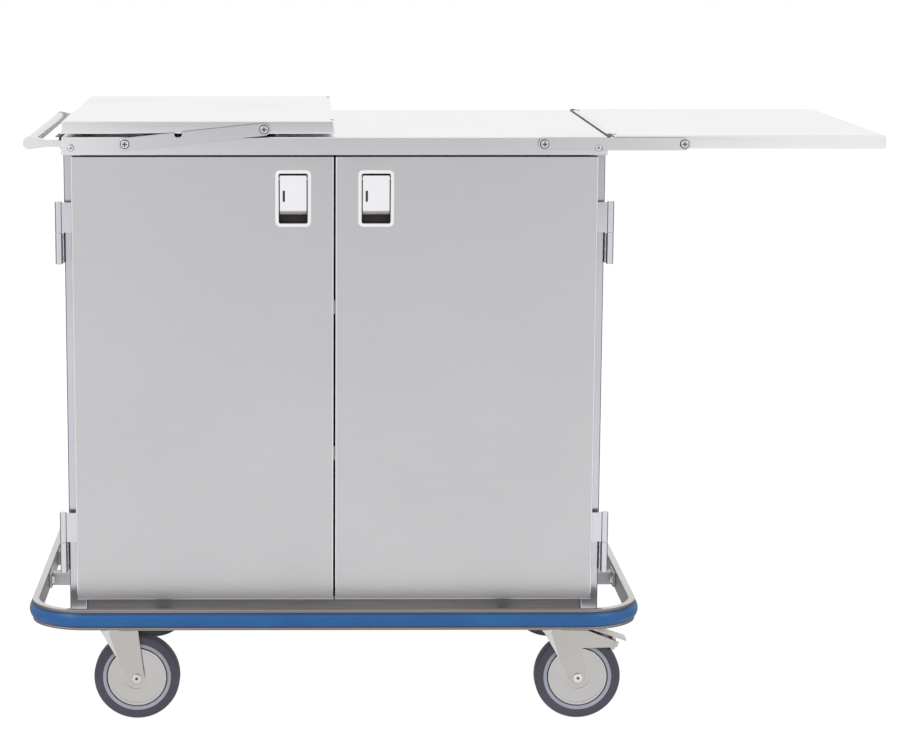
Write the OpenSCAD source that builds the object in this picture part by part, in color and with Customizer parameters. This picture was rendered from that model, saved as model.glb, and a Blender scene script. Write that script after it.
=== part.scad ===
// Case cart: a closed stainless cabinet on four swivel casters, with two doors,
// a deck whose two leaves swing over on link arms, a push handle and a bumper.
// The origin is on the floor under the middle of the cabinet. The doors face -Y.

/* [Deck] */
// Width of the deck, left to right
deck_w = 933; // [860:1:1000]
// Depth of the deck, front to back
deck_d = 654; // [600:1:720]
// Height of the deck's surface above the floor
deck_top = 1040; // [1000:1:1080]
// Depth of the skirt folded down round the deck
skirt_h = 31; // [29:0.5:40]
// Thickness of the deck and leaf sheet
sheet = 1.5; // [1:0.1:2]

/* [Cabinet frame] */
// Side of the square post tube
post = 30; // [26:1:34]
// Wall of the post and rail tube
tube_wall = 2; // [1.5:0.25:3]
// Underside of the posts and chassis above the floor
chassis_z = 190; // [180:1:200]
// Height of the chassis rails
chassis_h = 36; // [30:1:36]
// Height of the rails under the deck
top_rail_h = 30; // [20:1:30]
// How far the front chassis rail stands back from the posts
rail_set = 5; // [2:0.5:8]
// Width of the channels that the casters bolt to
caster_channel_w = 78; // [70:1:80]
// Height of those channels
caster_channel_h = 25; // [15:1:30]
// Thickness of the side, back and floor sheets
panel_t = 1.2; // [0.8:0.1:2]
// How far the side and back panels stand in from the posts
panel_set = 5; // [3:0.5:8]
// Gap between the back posts and the skirt behind them
back_gap = 6; // [5.5:0.5:10]

/* [Shelves] */
// Height of the lower shelf's seat
lower_shelf_z = 490; // [420:5:560]
// Height of the upper shelf's seat
upper_shelf_z = 750; // [680:5:820]
// Distance of a shelf's front and back edges from the deck's
shelf_set = 57; // [54:1:87]
// Thickness of the shelf sheet
shelf_t = 1.5; // [1:0.1:2.5]
// Height of a shelf's front and back lips
shelf_lip = 25; // [15:1:40]
// Leg of the shelf rail angles
rail_leg = 20; // [15:1:25]
// Thickness of the shelf rail angles
rail_t = 2; // [1.5:0.25:3]
// Depth of the slotted pilasters, off the panel
pilaster_t = 8; // [6:0.5:12]
// Width of the pilasters
pilaster_w = 20; // [16:1:28]
// Distance of the pilasters from the deck's front and back
pilaster_set = 107; // [92:1:147]
// Gap between the floor sheet and the pilasters' feet
pilaster_lift = 8; // [5:1:20]

/* [Doors] */
// Thickness of a door
door_t = 20; // [18:0.5:22]
// Underside of the doors above the floor
door_bottom = 228.5; // [228:0.5:236]
// Gap between a door and the skirt above it
door_gap_top = 3; // [2:0.5:6]
// Gap between the two doors
door_gap_mid = 3; // [2:0.5:6]
// Width of the post that shows beside a door
post_shows = 14; // [12:0.5:17]
// Sheet of the doors
door_sheet = 1.5; // [1:0.1:2]
// How far the doors stand behind the deck's front
door_set = 1; // [0.5:0.25:2]
// Gap between the doors' backs and the posts
door_seat_gap = 1; // [0.5:0.25:2]

/* [Door hinges] */
// Radius of the hinge barrels
barrel_r = 6; // [5.5:0.25:7]
// Length of a hinge barrel, both halves
barrel_len = 108; // [90:1:120]
// Height of the plate on each half
hinge_plate_h = 52; // [40:1:54]
// Thickness of the hinge plates
hinge_plate_t = 2; // [1.5:0.25:2.5]
// Radius of the hinge pin
hinge_pin_r = 3; // [2.5:0.25:3.5]
// Distance of the upper hinges' tops below the top of the doors
hinge_drop = 77; // [46:1:126]
// Distance of the lower hinges' feet above the underside of the doors
hinge_rise = 48; // [24:1:84]
// Gap between a barrel and the side of the post
barrel_off = 2.5; // [2.5:0.25:4]
// How far the plate on the post reaches past the post's front
hinge_plate_grip = 5; // [4:0.5:5.5]

/* [Door latches] */
// Distance of a latch's middle from the cabinet's middle
latch_x = 71; // [60:1:90]
// Distance of a latch's middle below the top of the doors
latch_drop = 71.5; // [68:0.5:106]
// Width of the latch frame
latch_w = 61.5; // [58:0.5:66]
// Height of the latch frame
latch_h = 97.5; // [92:0.5:104]
// Corner radius of the latch frame
latch_corner = 9; // [6:0.5:11]
// Thickness of the latch frame, standing on the door
latch_rim_t = 1.6; // [1:0.1:1.8]
// Width of the latch opening
cup_w = 49.7; // [48:0.1:52]
// Height of the latch opening
cup_h = 85.6; // [84:0.1:88]
// Wall of the latch cup
cup_wall = 1.2; // [1:0.1:1.4]
// Depth of the latch cup behind the door's face
cup_depth = 16.5; // [16:0.25:16.75]
// Gap between the cup and the edge of the door's cut-out
cup_clear = 0.2; // [0.1:0.05:0.4]
// Width of the paddle
paddle_w = 46.1; // [43:0.1:47]
// Height of the paddle's face
paddle_h = 60; // [56:0.5:63]
// Thickness of the paddle
paddle_t = 2.5; // [2:0.25:3]
// Height of the turned-in lip under the paddle
paddle_lip = 7; // [5:0.5:9]
// Gap above the paddle
paddle_top_gap = 3.4; // [3:0.1:5]
// Height of the slot in the paddle
slot_h = 19.5; // [14:0.5:24]
// Width of the slot in the paddle
slot_w = 4; // [3:0.25:5]
// Distance of the slot from the paddle's middle
slot_off = 16; // [13:0.5:18]
// Radius of the paddle's pivot pins
paddle_pin_r = 2; // [1.5:0.25:2.5]
// Radius of the latch bolt where it leaves the door
bolt_r = 4; // [3.5:0.25:5]
// Radius of the latch rod inside the cup
rod_r = 2.5; // [2:0.25:3]
// Gap between the bolt's tip and the strike
bolt_tip_gap = 0.5; // [0.3:0.1:1]
// Thickness of the strike plates
strike_t = 2; // [1.5:0.25:3]

/* [Leaves and arms] */
// Distance of a folded leaf's inner edge from the cart's middle
leaf_meet = 1.3; // [0.5:0.1:4]
// How far a folded leaf's outer edge lies inside the side of the deck
leaf_side_set = 1.7; // [0:0.1:4]
// Height of a leaf's edges
leaf_h = 22; // [20:0.5:22.5]
// Width of the flange turned in under a leaf
leaf_return = 12; // [10:0.5:12.5]
// Height of the shallow lip on a leaf's inner edge
leaf_lip = 3; // [2:0.25:3.5]
// Distance from a leaf's pivot to its inner edge
leaf_pivot_in = 119.2; // [110:0.1:122]
// Depth of the leaf's pivot below its surface
leaf_pivot_drop = 14; // [12:0.5:15]
// Depth of the arm pivots below the deck's surface
arm_pivot_drop = 12; // [11:0.5:13]
// Width of an arm
arm_w = 21.7; // [20:0.1:23]
// Thickness of an arm
arm_t = 4; // [3:0.25:5]
// Height of the folded leaf's underside above the deck
leaf_rest = 5; // [4:0.25:6]
// Radius of the notch in an arm
notch_r = 6.4; // [6.2:0.1:7]
// Distance of the notch from the arm's middle line
notch_drop = 7.5; // [7:0.25:8]
// Radius of the stop pins
stop_r = 5.2; // [4.5:0.1:5.3]
// Distance of the stop pins from the side of the deck
stop_in = 16.5; // [14:0.5:20]
// Radius of the pivot bolts' shanks
pivot_r = 4; // [3.5:0.25:5]
// Radius of the pivot bolts' heads
pivot_head_r = 7; // [6.5:0.25:9]
// Height of the pivot bolts' heads
pivot_head_t = 4; // [3:0.25:5]
// How far the keeper angles reach out past the deck
keeper_reach = 9.3; // [8:0.1:11]
// Thickness of the keeper angles
keeper_t = 2; // [1.5:0.25:2.5]
// Depth of the groove between the deck and a keeper angle
keeper_leg = 5; // [3:0.25:5]
// Width of that groove
keeper_gap = 1.5; // [1:0.1:2]
// Gap between a keeper angle and the leaf swung out beside it
leaf_clear = 1.2; // [1.1:0.1:2]
// Length of the relief openings at the ends of the keeper angles
relief_l = 25; // [15:1:30]
// How far the relief openings reach into a leaf
relief_in = 6; // [4:0.5:8]

/* [Push handle] */
// Distance of the handle tube from the side of the deck
handle_out = 56; // [50:1:60]
// Depth of the handle tube's middle below the deck's surface
handle_drop = 11.5; // [11:0.25:14]
// Radius of the handle tube
handle_r = 9.5; // [8:0.25:10]
// Wall of the handle tube
handle_wall = 1.5; // [1:0.25:2.5]
// Radius of the round end of a handle bracket
bracket_r = 11; // [10.5:0.1:11.2]
// Height of a handle bracket's arm
bracket_h = 12; // [9:0.5:12.5]
// Width of a handle bracket, front to back
bracket_t = 14; // [10:0.5:14]
// Distance of the brackets from the deck's front and back
bracket_set = 24; // [22:0.5:60]

/* [Bumper] */
// How far the bumper stands out from the deck, all round
bumper_out = 70.5; // [66:0.5:76]
// Height of the bumper's underside
bumper_z = 190.5; // [190:0.5:192]
// Height of the bumper channel
bumper_h = 36; // [30:0.5:36]
// Depth of the bumper channel
bumper_d = 11.5; // [10:0.5:15]
// Wall of the bumper channel
bumper_wall = 2; // [1.5:0.25:2.5]
// Height of the lips that hold the insert
bumper_lip = 2.25; // [2:0.25:5]
// How far the insert bulges out of the channel
insert_bulge = 5.5; // [3:0.25:6.5]
// Radius of the bumper's corners
bumper_corner = 102; // [90:1:115]
// Distance of the side brackets from the cart's middle
side_bracket_y = 87; // [60:1:140]
// Distance of the front and back brackets from the cart's middle
front_bracket_x = 300; // [220:5:320]
// Height of the side brackets
bumper_bracket_h = 23; // [18:0.5:25]
// Height of the front and back brackets
low_bracket_h = 13; // [10:0.5:14]
// Width of the bumper brackets
bumper_bracket_w = 26; // [20:1:40]

/* [Casters] */
// Radius of the wheels
wheel_r = 76.2; // [74:0.2:78]
// Width of the tyres
tyre_w = 32; // [28:0.5:33]
// Radius of the rim inside the tyre
rim_r = 60.8; // [58:0.2:63]
// Radius of the bright cover disc
cover_r = 53.4; // [50:0.2:55]
// Distance of the swivel axes from the sides of the deck
caster_in = 74.5; // [73.5:0.5:76.5]
// Distance of the swivel axes from the deck's front and back
caster_set = 55; // [47:1:67]
// How far a wheel trails behind its swivel axis
trail = 42; // [38:0.5:44]
// Thickness of the fork's legs
fork_t = 3; // [2.5:0.25:4]
// Gap between a hub and a fork leg
fork_gap = 0.7; // [0.4:0.1:0.9]
// Width of the hub
hub_w = 37; // [35:0.5:39]
// Radius of the hub
hub_r = 14; // [12:0.5:16]
// Radius of the axle
axle_r = 5; // [4:0.5:6]
// Radius of the fork's round lower end
fork_end_r = 14; // [12:0.5:16]
// Underside of the fork's crown above the floor
crown_z = 160; // [158:0.5:161]
// Length of a caster's top plate, along the cart
plate_l = 76; // [70:1:78]
// Width of a caster's top plate, front to back
plate_w = 90; // [84:1:94]
// Thickness of a caster's top plate
plate_t = 4; // [3:0.25:5]
// Radius of the swivel race
race_r = 28; // [24:0.5:30]
// Radius of the kingpin
kingpin_r = 8; // [7:0.5:10]
// Running clearance of a pin in its bore
fit = 0.05; // [0.02:0.01:0.08]
// Clearance between faces that pass each other
pass = 0.3; // [0.3:0.05:0.5]

/* [Brakes] */
// Height of the brake pivot above the wheel's middle
brake_pivot_up = 61.8; // [60:0.1:64]
// Distance of the brake pivot behind the wheel's middle
brake_pivot_out = 64; // [63.5:0.1:67]
// Radius of the brake pivot's boss
brake_boss_r = 4.5; // [4:0.25:5]
// Radius of the brake shoe
shoe_r = 4; // [3.5:0.1:4.1]

/* [Hidden] */
$fn = 64;
steel = "silver";
bright = "gainsboro";
pale = "whitesmoke";
body_steel = "lightgray";
dark = "dimgray";
blue = "steelblue";

// Cabinet planes, counted from the deck's edges
half_w = deck_w / 2;
half_d = deck_d / 2;
post_x = half_w - sheet;
post_in = post_x - post;
door_front = -half_d + door_set;
door_back = door_front + door_t;
post_front = door_back + door_seat_gap;
post_back = half_d - sheet - back_gap;
deck_under = deck_top - sheet;
skirt_bottom = deck_top - skirt_h;
chassis_top = chassis_z + chassis_h;
top_rail_z = deck_under - top_rail_h;
panel_x = post_x - panel_set;
panel_in = panel_x - panel_t;

// Shelves
shelf_d = deck_d - 2 * shelf_set;
pilaster_y = half_d - pilaster_set;
rail_half = -(post_front + post) - 5;

// Doors and hinges
door_edge = post_x - post_shows;
door_w = door_edge - door_gap_mid / 2;
door_top = skirt_bottom - door_gap_top;
upper_hinge_top = door_top - hinge_drop;
lower_hinge_top = door_bottom + hinge_rise + barrel_len;
hinge_x = post_x + barrel_off + barrel_r;
hinge_y = door_front + barrel_r;
knuckle = (barrel_len - pass) / 2;

// Latches
latch_z = door_top - latch_drop;
latch_front = door_front - latch_rim_t;
paddle_front = door_front - 1;
paddle_top = latch_z + cup_h / 2 - paddle_top_gap;
pivot_inset = 5.7;
paddle_axis_z = paddle_top - pivot_inset;
paddle_axis_y = paddle_front + 5;
rod_y = paddle_axis_y + 8;
tail_t = 2.5;
tail_reach = 10.5;
foot_r = rod_r + 1.2;
foot_t = 2.5;
bolt_top = skirt_bottom - bolt_tip_gap;
bolt_shoulder_z = latch_z + cup_h / 2 + cup_wall + 7;

// Arms and leaves. An arm's length carries a leaf from beside the keeper angle to the cart's middle
arm_z = deck_top - arm_pivot_drop;
leaf_len = half_w - leaf_meet - leaf_side_set;
folded_pivot_z = deck_top + leaf_rest + leaf_h - leaf_pivot_drop;
fold_rise = folded_pivot_z - arm_z;
leaf_travel = half_w + keeper_reach + leaf_clear - leaf_meet;
arm_len = (leaf_travel * leaf_travel + fold_rise * fold_rise) / (2 * leaf_travel);
fold_run = leaf_travel - arm_len;
fold_angle = asin(fold_rise / arm_len);
folded_x = leaf_meet + leaf_pivot_in;
open_x = folded_x + leaf_travel;
arm_pivot_x = open_x - arm_len;
open_z = arm_z + leaf_pivot_drop - leaf_h;
folded_z = folded_pivot_z + leaf_pivot_drop - leaf_h;
collar_t = 0.5;
arm_in = half_d + collar_t + pass;
arm_out = arm_in + arm_t;
nut_t = 5;
nut_r = 6;
stop_x = half_w - stop_in;
notch_x = stop_x - arm_pivot_x;
stop_z = arm_z - notch_drop + notch_r - pass - stop_r;
stiffener_w = 60;
stiffener_h = leaf_h - sheet + leaf_rest - pass;
stiffener_xs = [-20, 150];
stiffener_d = half_d - 72;
relief_y = half_d - 17 - relief_l;

// Handle and bumper
handle_x = half_w + handle_out;
handle_z = deck_top - handle_drop;
bracket_y = half_d - bracket_set;
tip_x = half_w + bumper_out - insert_bulge;
tip_y = half_d + bumper_out - insert_bulge;
tip_corner = bumper_corner - insert_bulge;
web_in_x = tip_x - bumper_d;
web_in_y = tip_y - bumper_d;

// Casters
caster_x = half_w - caster_in;
caster_y = half_d - caster_set;
fork_in = hub_w / 2 + fork_gap;
fork_out = fork_in + fork_t;
crown_t = 3;
race_z = crown_z + crown_t + 14;
kingpin_head_r = 12;
kingpin_head_t = 3;
leg_lead = 21;
leg_lag = 45;
ear_reach = brake_pivot_out + 8;
pedal_in_x = 26;
pedal_in_up = 86;
pedal_out_x = 86;
pedal_out_up = 65.5;
pedal_t = 2.5;
pedal_half = 17;
shoe_back = 1.5;
shoe_down = 9.3;

// A box between two corners
module block(low, high) {
    translate(low) cube(high - low);
}

// A square tube between two corners, open along one axis (0, 1 or 2)
module tube(low, high, wall, along) {
    inset = [for (i = [0 : 2]) i == along ? -1 : wall];
    difference() {
        block(low, high);
        block(low + inset, high - inset);
    }
}

// A round bar along Y between two depths
module bar_y(x, z, y0, y1, r) {
    translate([x, y1, z]) rotate([90, 0, 0]) cylinder(h = y1 - y0, r = r);
}

// A round bar along X between two places
module bar_x(x0, x1, y, z, r) {
    translate([x0, y, z]) rotate([0, 90, 0]) cylinder(h = x1 - x0, r = r);
}

// A flat shape in X and Z, made solid between two depths
module plate_y(y0, y1) {
    translate([0, y1, 0]) rotate([90, 0, 0]) linear_extrude(y1 - y0) children();
}

// A rectangle with round corners, about its middle
module round_rect(w, h, r) {
    square([w - 2 * r, h], center = true);
    square([w, h - 2 * r], center = true);
    for (x = [-1, 1], y = [-1, 1])
        translate([x * (w / 2 - r), y * (h / 2 - r)]) circle(r);
}

// A strip with round ends from the origin along +X
module strip(length, width) {
    translate([0, -width / 2]) square([length, width]);
    circle(width / 2);
    translate([length, 0]) circle(width / 2);
}

// The children, and their mirror image front to back
module front_and_back() {
    children();
    mirror([0, 1, 0]) children();
}

// The children, and their mirror image left to right
module left_and_right() {
    children();
    mirror([1, 0, 0]) children();
}

// Children on the right side, or mirrored to the left one (side is 1 or -1)
module on_side(side) {
    if (side > 0) children();
    else mirror([1, 0, 0]) children();
}

// A bolt across a skirt or leaf edge at the front: head, collar, shank and nut
module pivot_bolt(x, z) {
    bar_y(x, z, -arm_out - pass - pivot_head_t, -arm_out - pass, pivot_head_r);
    bar_y(x, z, -arm_out - pass, -half_d + sheet + nut_t, pivot_r);
    bar_y(x, z, -half_d - collar_t, -half_d, pivot_head_r);
    bar_y(x, z, -half_d + sheet, -half_d + sheet + nut_t, nut_r);
}

module deck() {
    color(pale) difference() {
        block([-half_w, -half_d, skirt_bottom], [half_w, half_d, deck_top]);
        block([-half_w + sheet, -half_d + sheet, skirt_bottom - 1],
              [half_w - sheet, half_d - sheet, deck_under]);
        left_and_right() front_and_back() {
            bar_y(arm_pivot_x, arm_z, -half_d - 1, -half_d + sheet + 1, pivot_r + 0.1);
            bar_y(stop_x, stop_z, -half_d - 1, -half_d + sheet + 1, stop_r - 1.9);
        }
    }
}

module posts() {
    color(body_steel) left_and_right() {
        tube([post_in, post_front, chassis_z], [post_x, post_front + post, deck_under], tube_wall, 2);
        tube([post_in, post_back - post, chassis_z], [post_x, post_back, deck_under], tube_wall, 2);
    }
}

module top_rails() {
    front_in = post_front + post;
    back_in = post_back - post;
    color(body_steel) {
        tube([-post_in, post_front, top_rail_z], [post_in, front_in, deck_under], tube_wall, 0);
        tube([-post_in, back_in, top_rail_z], [post_in, post_back, deck_under], tube_wall, 0);
        left_and_right()
            tube([post_in + 1, front_in, top_rail_z], [post_x, back_in, deck_under], tube_wall, 1);
    }
}

module chassis() {
    front_in = post_front + post;
    back_in = post_back - post;
    color(dark) {
        tube([-post_in, post_front + rail_set, chassis_z], [post_in, front_in, chassis_top],
             tube_wall, 0);
        tube([-post_in, back_in, chassis_z], [post_in, post_back, chassis_top], tube_wall, 0);
        left_and_right() {
            tube([post_in + 1, front_in, chassis_z], [post_x, back_in, chassis_top], tube_wall, 1);
            difference() {
                block([caster_x - caster_channel_w / 2, front_in, chassis_z],
                      [caster_x + caster_channel_w / 2, back_in, chassis_z + caster_channel_h]);
                block([caster_x - caster_channel_w / 2 + tube_wall, front_in - 1, chassis_z + tube_wall],
                      [caster_x + caster_channel_w / 2 - tube_wall, back_in + 1, chassis_top]);
            }
        }
    }
}

module side_panel(side) {
    color(body_steel) on_side(side)
        block([panel_in, post_front + post, chassis_top], [panel_x, post_back - post, top_rail_z]);
}

module back_panel() {
    color(body_steel)
        block([-post_in, post_back - panel_set - panel_t, chassis_top],
              [post_in, post_back - panel_set, top_rail_z]);
}

module floor_panel() {
    color(body_steel) {
        block([-panel_in, post_front + post, chassis_top],
              [panel_in, post_back - post, chassis_top + panel_t]);
        block([-post_in, post_front + rail_set, chassis_top],
              [post_in, post_back - panel_set - panel_t, chassis_top + panel_t]);
    }
}

module pilasters() {
    slot_pitch = 25;
    low = chassis_top + panel_t + pilaster_lift;
    color(steel) left_and_right() front_and_back() difference() {
        block([panel_in - pilaster_t, pilaster_y - pilaster_w / 2, low],
              [panel_in, pilaster_y + pilaster_w / 2, top_rail_z]);
        block([panel_in - pilaster_t + tube_wall, pilaster_y - pilaster_w / 2 + tube_wall, low - 1],
              [panel_in + 1, pilaster_y + pilaster_w / 2 - tube_wall, top_rail_z + 1]);
        for (z = [low + slot_pitch : slot_pitch : top_rail_z - slot_pitch])
            block([panel_in - pilaster_t - 1, pilaster_y - 2, z],
                  [panel_in - pilaster_t + tube_wall + 1, pilaster_y + 2, z + 12]);
    }
}

module shelf_rails() {
    outer = panel_in - pilaster_t;
    color(steel) left_and_right() for (z = [lower_shelf_z, upper_shelf_z]) {
        block([outer - rail_t, -rail_half, z - rail_leg], [outer, rail_half, z]);
        block([outer - rail_leg, -rail_half, z - rail_t], [outer, rail_half, z]);
    }
}

module shelves() {
    half = panel_in - pilaster_t - rail_t;
    inner = panel_in - pilaster_t - rail_leg - 1;
    color(bright) for (z = [lower_shelf_z, upper_shelf_z]) {
        block([-half, -shelf_d / 2, z], [half, shelf_d / 2, z + shelf_t]);
        front_and_back()
            block([-inner, -shelf_d / 2, z + shelf_t - shelf_lip],
                  [inner, -shelf_d / 2 + shelf_t, z + shelf_t]);
    }
}

// The openings that relieve the ends of a keeper angle and of the leaf beside it
module reliefs(x0, x1, z0, z1) {
    front_and_back() block([x0, relief_y, z0], [x1, relief_y + relief_l, z1]);
}

module keeper_angles() {
    inner = half_w + keeper_gap;
    foot = deck_top - keeper_leg;
    color(bright) left_and_right() difference() {
        union() {
            block([half_w, -half_d, foot - 1], [inner + keeper_t, half_d, foot]);
            block([inner, -half_d, foot - 1], [inner + keeper_t, half_d, deck_top + keeper_t]);
            block([inner, -half_d, deck_top], [half_w + keeper_reach, half_d, deck_top + keeper_t]);
        }
        reliefs(inner + keeper_t, half_w + keeper_reach + 1, deck_top - 1, deck_top + keeper_t + 1);
    }
}

module deck_pivots() {
    shank_r = stop_r - 2;
    color(bright) left_and_right() front_and_back() {
        pivot_bolt(arm_pivot_x, arm_z);
        bar_y(stop_x, stop_z, -arm_out - 1, -half_d, stop_r);
        bar_y(stop_x, stop_z, -half_d, -half_d + sheet + 2, shank_r);
        bar_y(stop_x, stop_z, -half_d + sheet, -half_d + sheet + 2, stop_r);
    }
}

module handle_tube() {
    color(bright) difference() {
        bar_y(-handle_x, handle_z, -bracket_y - bracket_t / 4, bracket_y + bracket_t / 4, handle_r);
        bar_y(-handle_x, handle_z, -bracket_y - bracket_t, bracket_y + bracket_t,
              handle_r - handle_wall);
    }
}

module handle_brackets() {
    color(pale) front_and_back() difference() {
        plate_y(-bracket_y - bracket_t / 2, -bracket_y + bracket_t / 2) {
            translate([-handle_x, handle_z]) circle(bracket_r);
            polygon([[-handle_x, handle_z + bracket_r], [-handle_x, handle_z - bracket_r],
                     [-handle_x + 30, handle_z - 1 - bracket_h / 2],
                     [-handle_x + 30, handle_z - 1 + bracket_h / 2]]);
            translate([-handle_x, handle_z - 1 - bracket_h / 2])
                square([handle_out, bracket_h]);
            translate([-half_w - 4, handle_z - 1 - bracket_h / 2 - 3]) square([4, bracket_h + 3]);
        }
        bar_y(-handle_x, handle_z, -bracket_y - bracket_t / 4, -bracket_y + bracket_t, handle_r);
    }
}

// A flat profile carried round the cart; its X is 0 at the channel's tips
module round_the_cart() {
    run_x = 2 * (tip_x - tip_corner);
    run_y = 2 * (tip_y - tip_corner);
    for (a = [0, 180]) rotate([0, 0, a]) {
        translate([tip_x, 0, 0]) rotate([90, 0, 0]) linear_extrude(run_y, center = true) children();
        rotate([0, 0, 90]) translate([tip_y, 0, 0]) rotate([90, 0, 0])
            linear_extrude(run_x, center = true) children();
        translate([run_x / 2, run_y / 2, 0]) rotate_extrude(angle = 90)
            translate([tip_corner, 0]) children();
        translate([-run_x / 2, run_y / 2, 0]) rotate([0, 0, 90]) rotate_extrude(angle = 90)
            translate([tip_corner, 0]) children();
    }
}

module channel_profile() {
    translate([-bumper_d, bumper_z]) difference() {
        square([bumper_d, bumper_h]);
        translate([bumper_wall, bumper_wall])
            square([bumper_d - 2 * bumper_wall, bumper_h - 2 * bumper_wall]);
        translate([bumper_wall, bumper_wall + bumper_lip])
            square([bumper_d, bumper_h - 2 * (bumper_wall + bumper_lip)]);
    }
}

// The insert fills the channel and bulges out between its lips
module insert_profile() {
    half = bumper_h / 2 - bumper_wall - bumper_lip;
    bow = half - 0.5;
    bulge_r = (bow * bow + insert_bulge * insert_bulge) / (2 * insert_bulge);
    mid = bumper_z + bumper_h / 2;
    translate([bumper_wall - bumper_d, bumper_z + bumper_wall])
        square([bumper_d - 2 * bumper_wall, bumper_h - 2 * bumper_wall]);
    translate([-bumper_wall - 0.5, mid - half]) square([bumper_wall + 0.5, 2 * half]);
    intersection() {
        translate([insert_bulge - bulge_r, mid]) circle(bulge_r);
        translate([-0.3, mid - half]) square([insert_bulge + 1, 2 * half]);
    }
}

module bumper_channel() {
    color(steel) round_the_cart() channel_profile();
}

module bumper_insert() {
    color(blue) round_the_cart() insert_profile();
}

module bumper_brackets() {
    mid = bumper_z + bumper_h / 2;
    low = mid - bumper_bracket_h / 2;
    high = mid + bumper_bracket_h / 2;
    pad = 5;
    color(steel) left_and_right() front_and_back() {
        block([post_x, -side_bracket_y - bumper_bracket_w / 2, low],
              [web_in_x, -side_bracket_y + bumper_bracket_w / 2, high]);
        block([web_in_x - pad, -side_bracket_y - bumper_bracket_w, low - 2],
              [web_in_x, -side_bracket_y + bumper_bracket_w, high + 2]);
    }
    base = bumper_z + 1;
    color(steel) left_and_right() {
        block([front_bracket_x - bumper_bracket_w / 2, -web_in_y, base],
              [front_bracket_x + bumper_bracket_w / 2, post_front + rail_set, base + low_bracket_h]);
        block([front_bracket_x - bumper_bracket_w / 2, post_back, base],
              [front_bracket_x + bumper_bracket_w / 2, web_in_y, base + low_bracket_h]);
    }
}

// One hinge's lower half: barrel, pin and the plate on the post's side
module post_hinge(top) {
    base = top - barrel_len;
    back = hinge_y + barrel_r;
    translate([hinge_x, hinge_y, base]) {
        cylinder(h = knuckle, r = barrel_r);
        cylinder(h = barrel_len - 4, r = hinge_pin_r);
    }
    block([post_x, back - hinge_plate_t, base + 1],
          [hinge_x, back, base + 1 + hinge_plate_h]);
    block([post_x, back - hinge_plate_t, base + 1],
          [post_x + hinge_plate_t, post_front + hinge_plate_grip, base + 1 + hinge_plate_h]);
}

// The same hinge's upper half, welded to the door's edge
module door_hinge(top) {
    base = top - knuckle;
    difference() {
        union() {
            translate([hinge_x, hinge_y, base]) cylinder(h = knuckle, r = barrel_r);
            block([door_edge, hinge_y - hinge_plate_t, base + 0.5],
                  [hinge_x, hinge_y, base + 0.5 + hinge_plate_h]);
        }
        translate([hinge_x, hinge_y, base - 1])
            cylinder(h = barrel_len / 2 - 2, r = hinge_pin_r + fit);
    }
}

module post_hinges() {
    color(bright) left_and_right() for (top = [upper_hinge_top, lower_hinge_top]) post_hinge(top);
}

module door_hinges(side) {
    color(bright) on_side(side) for (top = [upper_hinge_top, lower_hinge_top]) door_hinge(top);
}

module strikes() {
    color(steel) left_and_right() difference() {
        block([latch_x - 15, -half_d + sheet, skirt_bottom],
              [latch_x + 15, post_front, skirt_bottom + strike_t]);
        translate([latch_x, rod_y, skirt_bottom - 1]) cylinder(h = strike_t + 2, r = bolt_r + 1);
    }
}

module door(side) {
    in = door_sheet;
    color(body_steel) on_side(side) difference() {
        block([door_edge - door_w, door_front, door_bottom], [door_edge, door_back, door_top]);
        block([door_edge - door_w + in, door_front + in, door_bottom + in],
              [door_edge - in, door_back + 1, door_top - in]);
        translate([latch_x, 0, latch_z]) plate_y(door_front - 1, door_front + in + 1)
            square([cup_w + 2 * (cup_wall + cup_clear), cup_h + 2 * (cup_wall + cup_clear)],
                   center = true);
        translate([latch_x, rod_y, door_top - in - 1]) cylinder(h = in + 2, r = bolt_r + fit);
    }
}

module door_liner(side) {
    in = door_sheet;
    color(bright) on_side(side)
        block([door_edge - door_w + in, door_back - panel_t, door_bottom + in],
              [door_edge - in, door_back, door_top - in]);
}

module latch_cup(side) {
    outer_w = cup_w + 2 * cup_wall;
    outer_h = cup_h + 2 * cup_wall;
    color(pale) translate([side * latch_x, 0, latch_z]) difference() {
        union() {
            plate_y(latch_front, door_front) round_rect(latch_w, latch_h, latch_corner);
            plate_y(door_front, door_front + cup_depth + cup_wall)
                square([outer_w, outer_h], center = true);
        }
        plate_y(latch_front - 1, door_front + cup_depth) square([cup_w, cup_h], center = true);
        bar_x(-latch_w, latch_w, paddle_axis_y, paddle_axis_z - latch_z, paddle_pin_r + fit);
        translate([0, rod_y, 0]) cylinder(h = cup_h, r = rod_r + fit);
    }
}

module paddle(side) {
    tail_w = 12;
    lip_in = 6;
    pin_out = cup_w / 2 + cup_wall / 2;
    bottom = paddle_top - paddle_h;
    color(pale) translate([side * latch_x, 0, 0]) {
        difference() {
            block([-paddle_w / 2, paddle_front, bottom], [paddle_w / 2, paddle_front + paddle_t, paddle_top]);
            block([-slot_off - slot_w / 2, paddle_front - 1, latch_z + 4 - slot_h / 2],
                  [-slot_off + slot_w / 2, paddle_front + paddle_t + 1, latch_z + 4 + slot_h / 2]);
        }
        translate([-paddle_w / 2, 0, 0]) rotate([90, 0, 90]) linear_extrude(paddle_w)
            polygon([[paddle_front, bottom], [paddle_front + paddle_t, bottom],
                     [paddle_front + paddle_t + lip_in, bottom - paddle_lip + paddle_t],
                     [paddle_front + paddle_t + lip_in, bottom - paddle_lip],
                     [paddle_front + lip_in, bottom - paddle_lip]]);
        bar_x(-pin_out, pin_out, paddle_axis_y, paddle_axis_z, paddle_pin_r);
        difference() {
            block([-tail_w / 2, paddle_front, paddle_axis_z - tail_t / 2],
                  [tail_w / 2, paddle_axis_y + tail_reach, paddle_axis_z + tail_t / 2]);
            block([-rod_r - pass, rod_y - rod_r - 0.9, paddle_axis_z - tail_t],
                  [rod_r + pass, rod_y + 10, paddle_axis_z + tail_t]);
        }
    }
}

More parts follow.
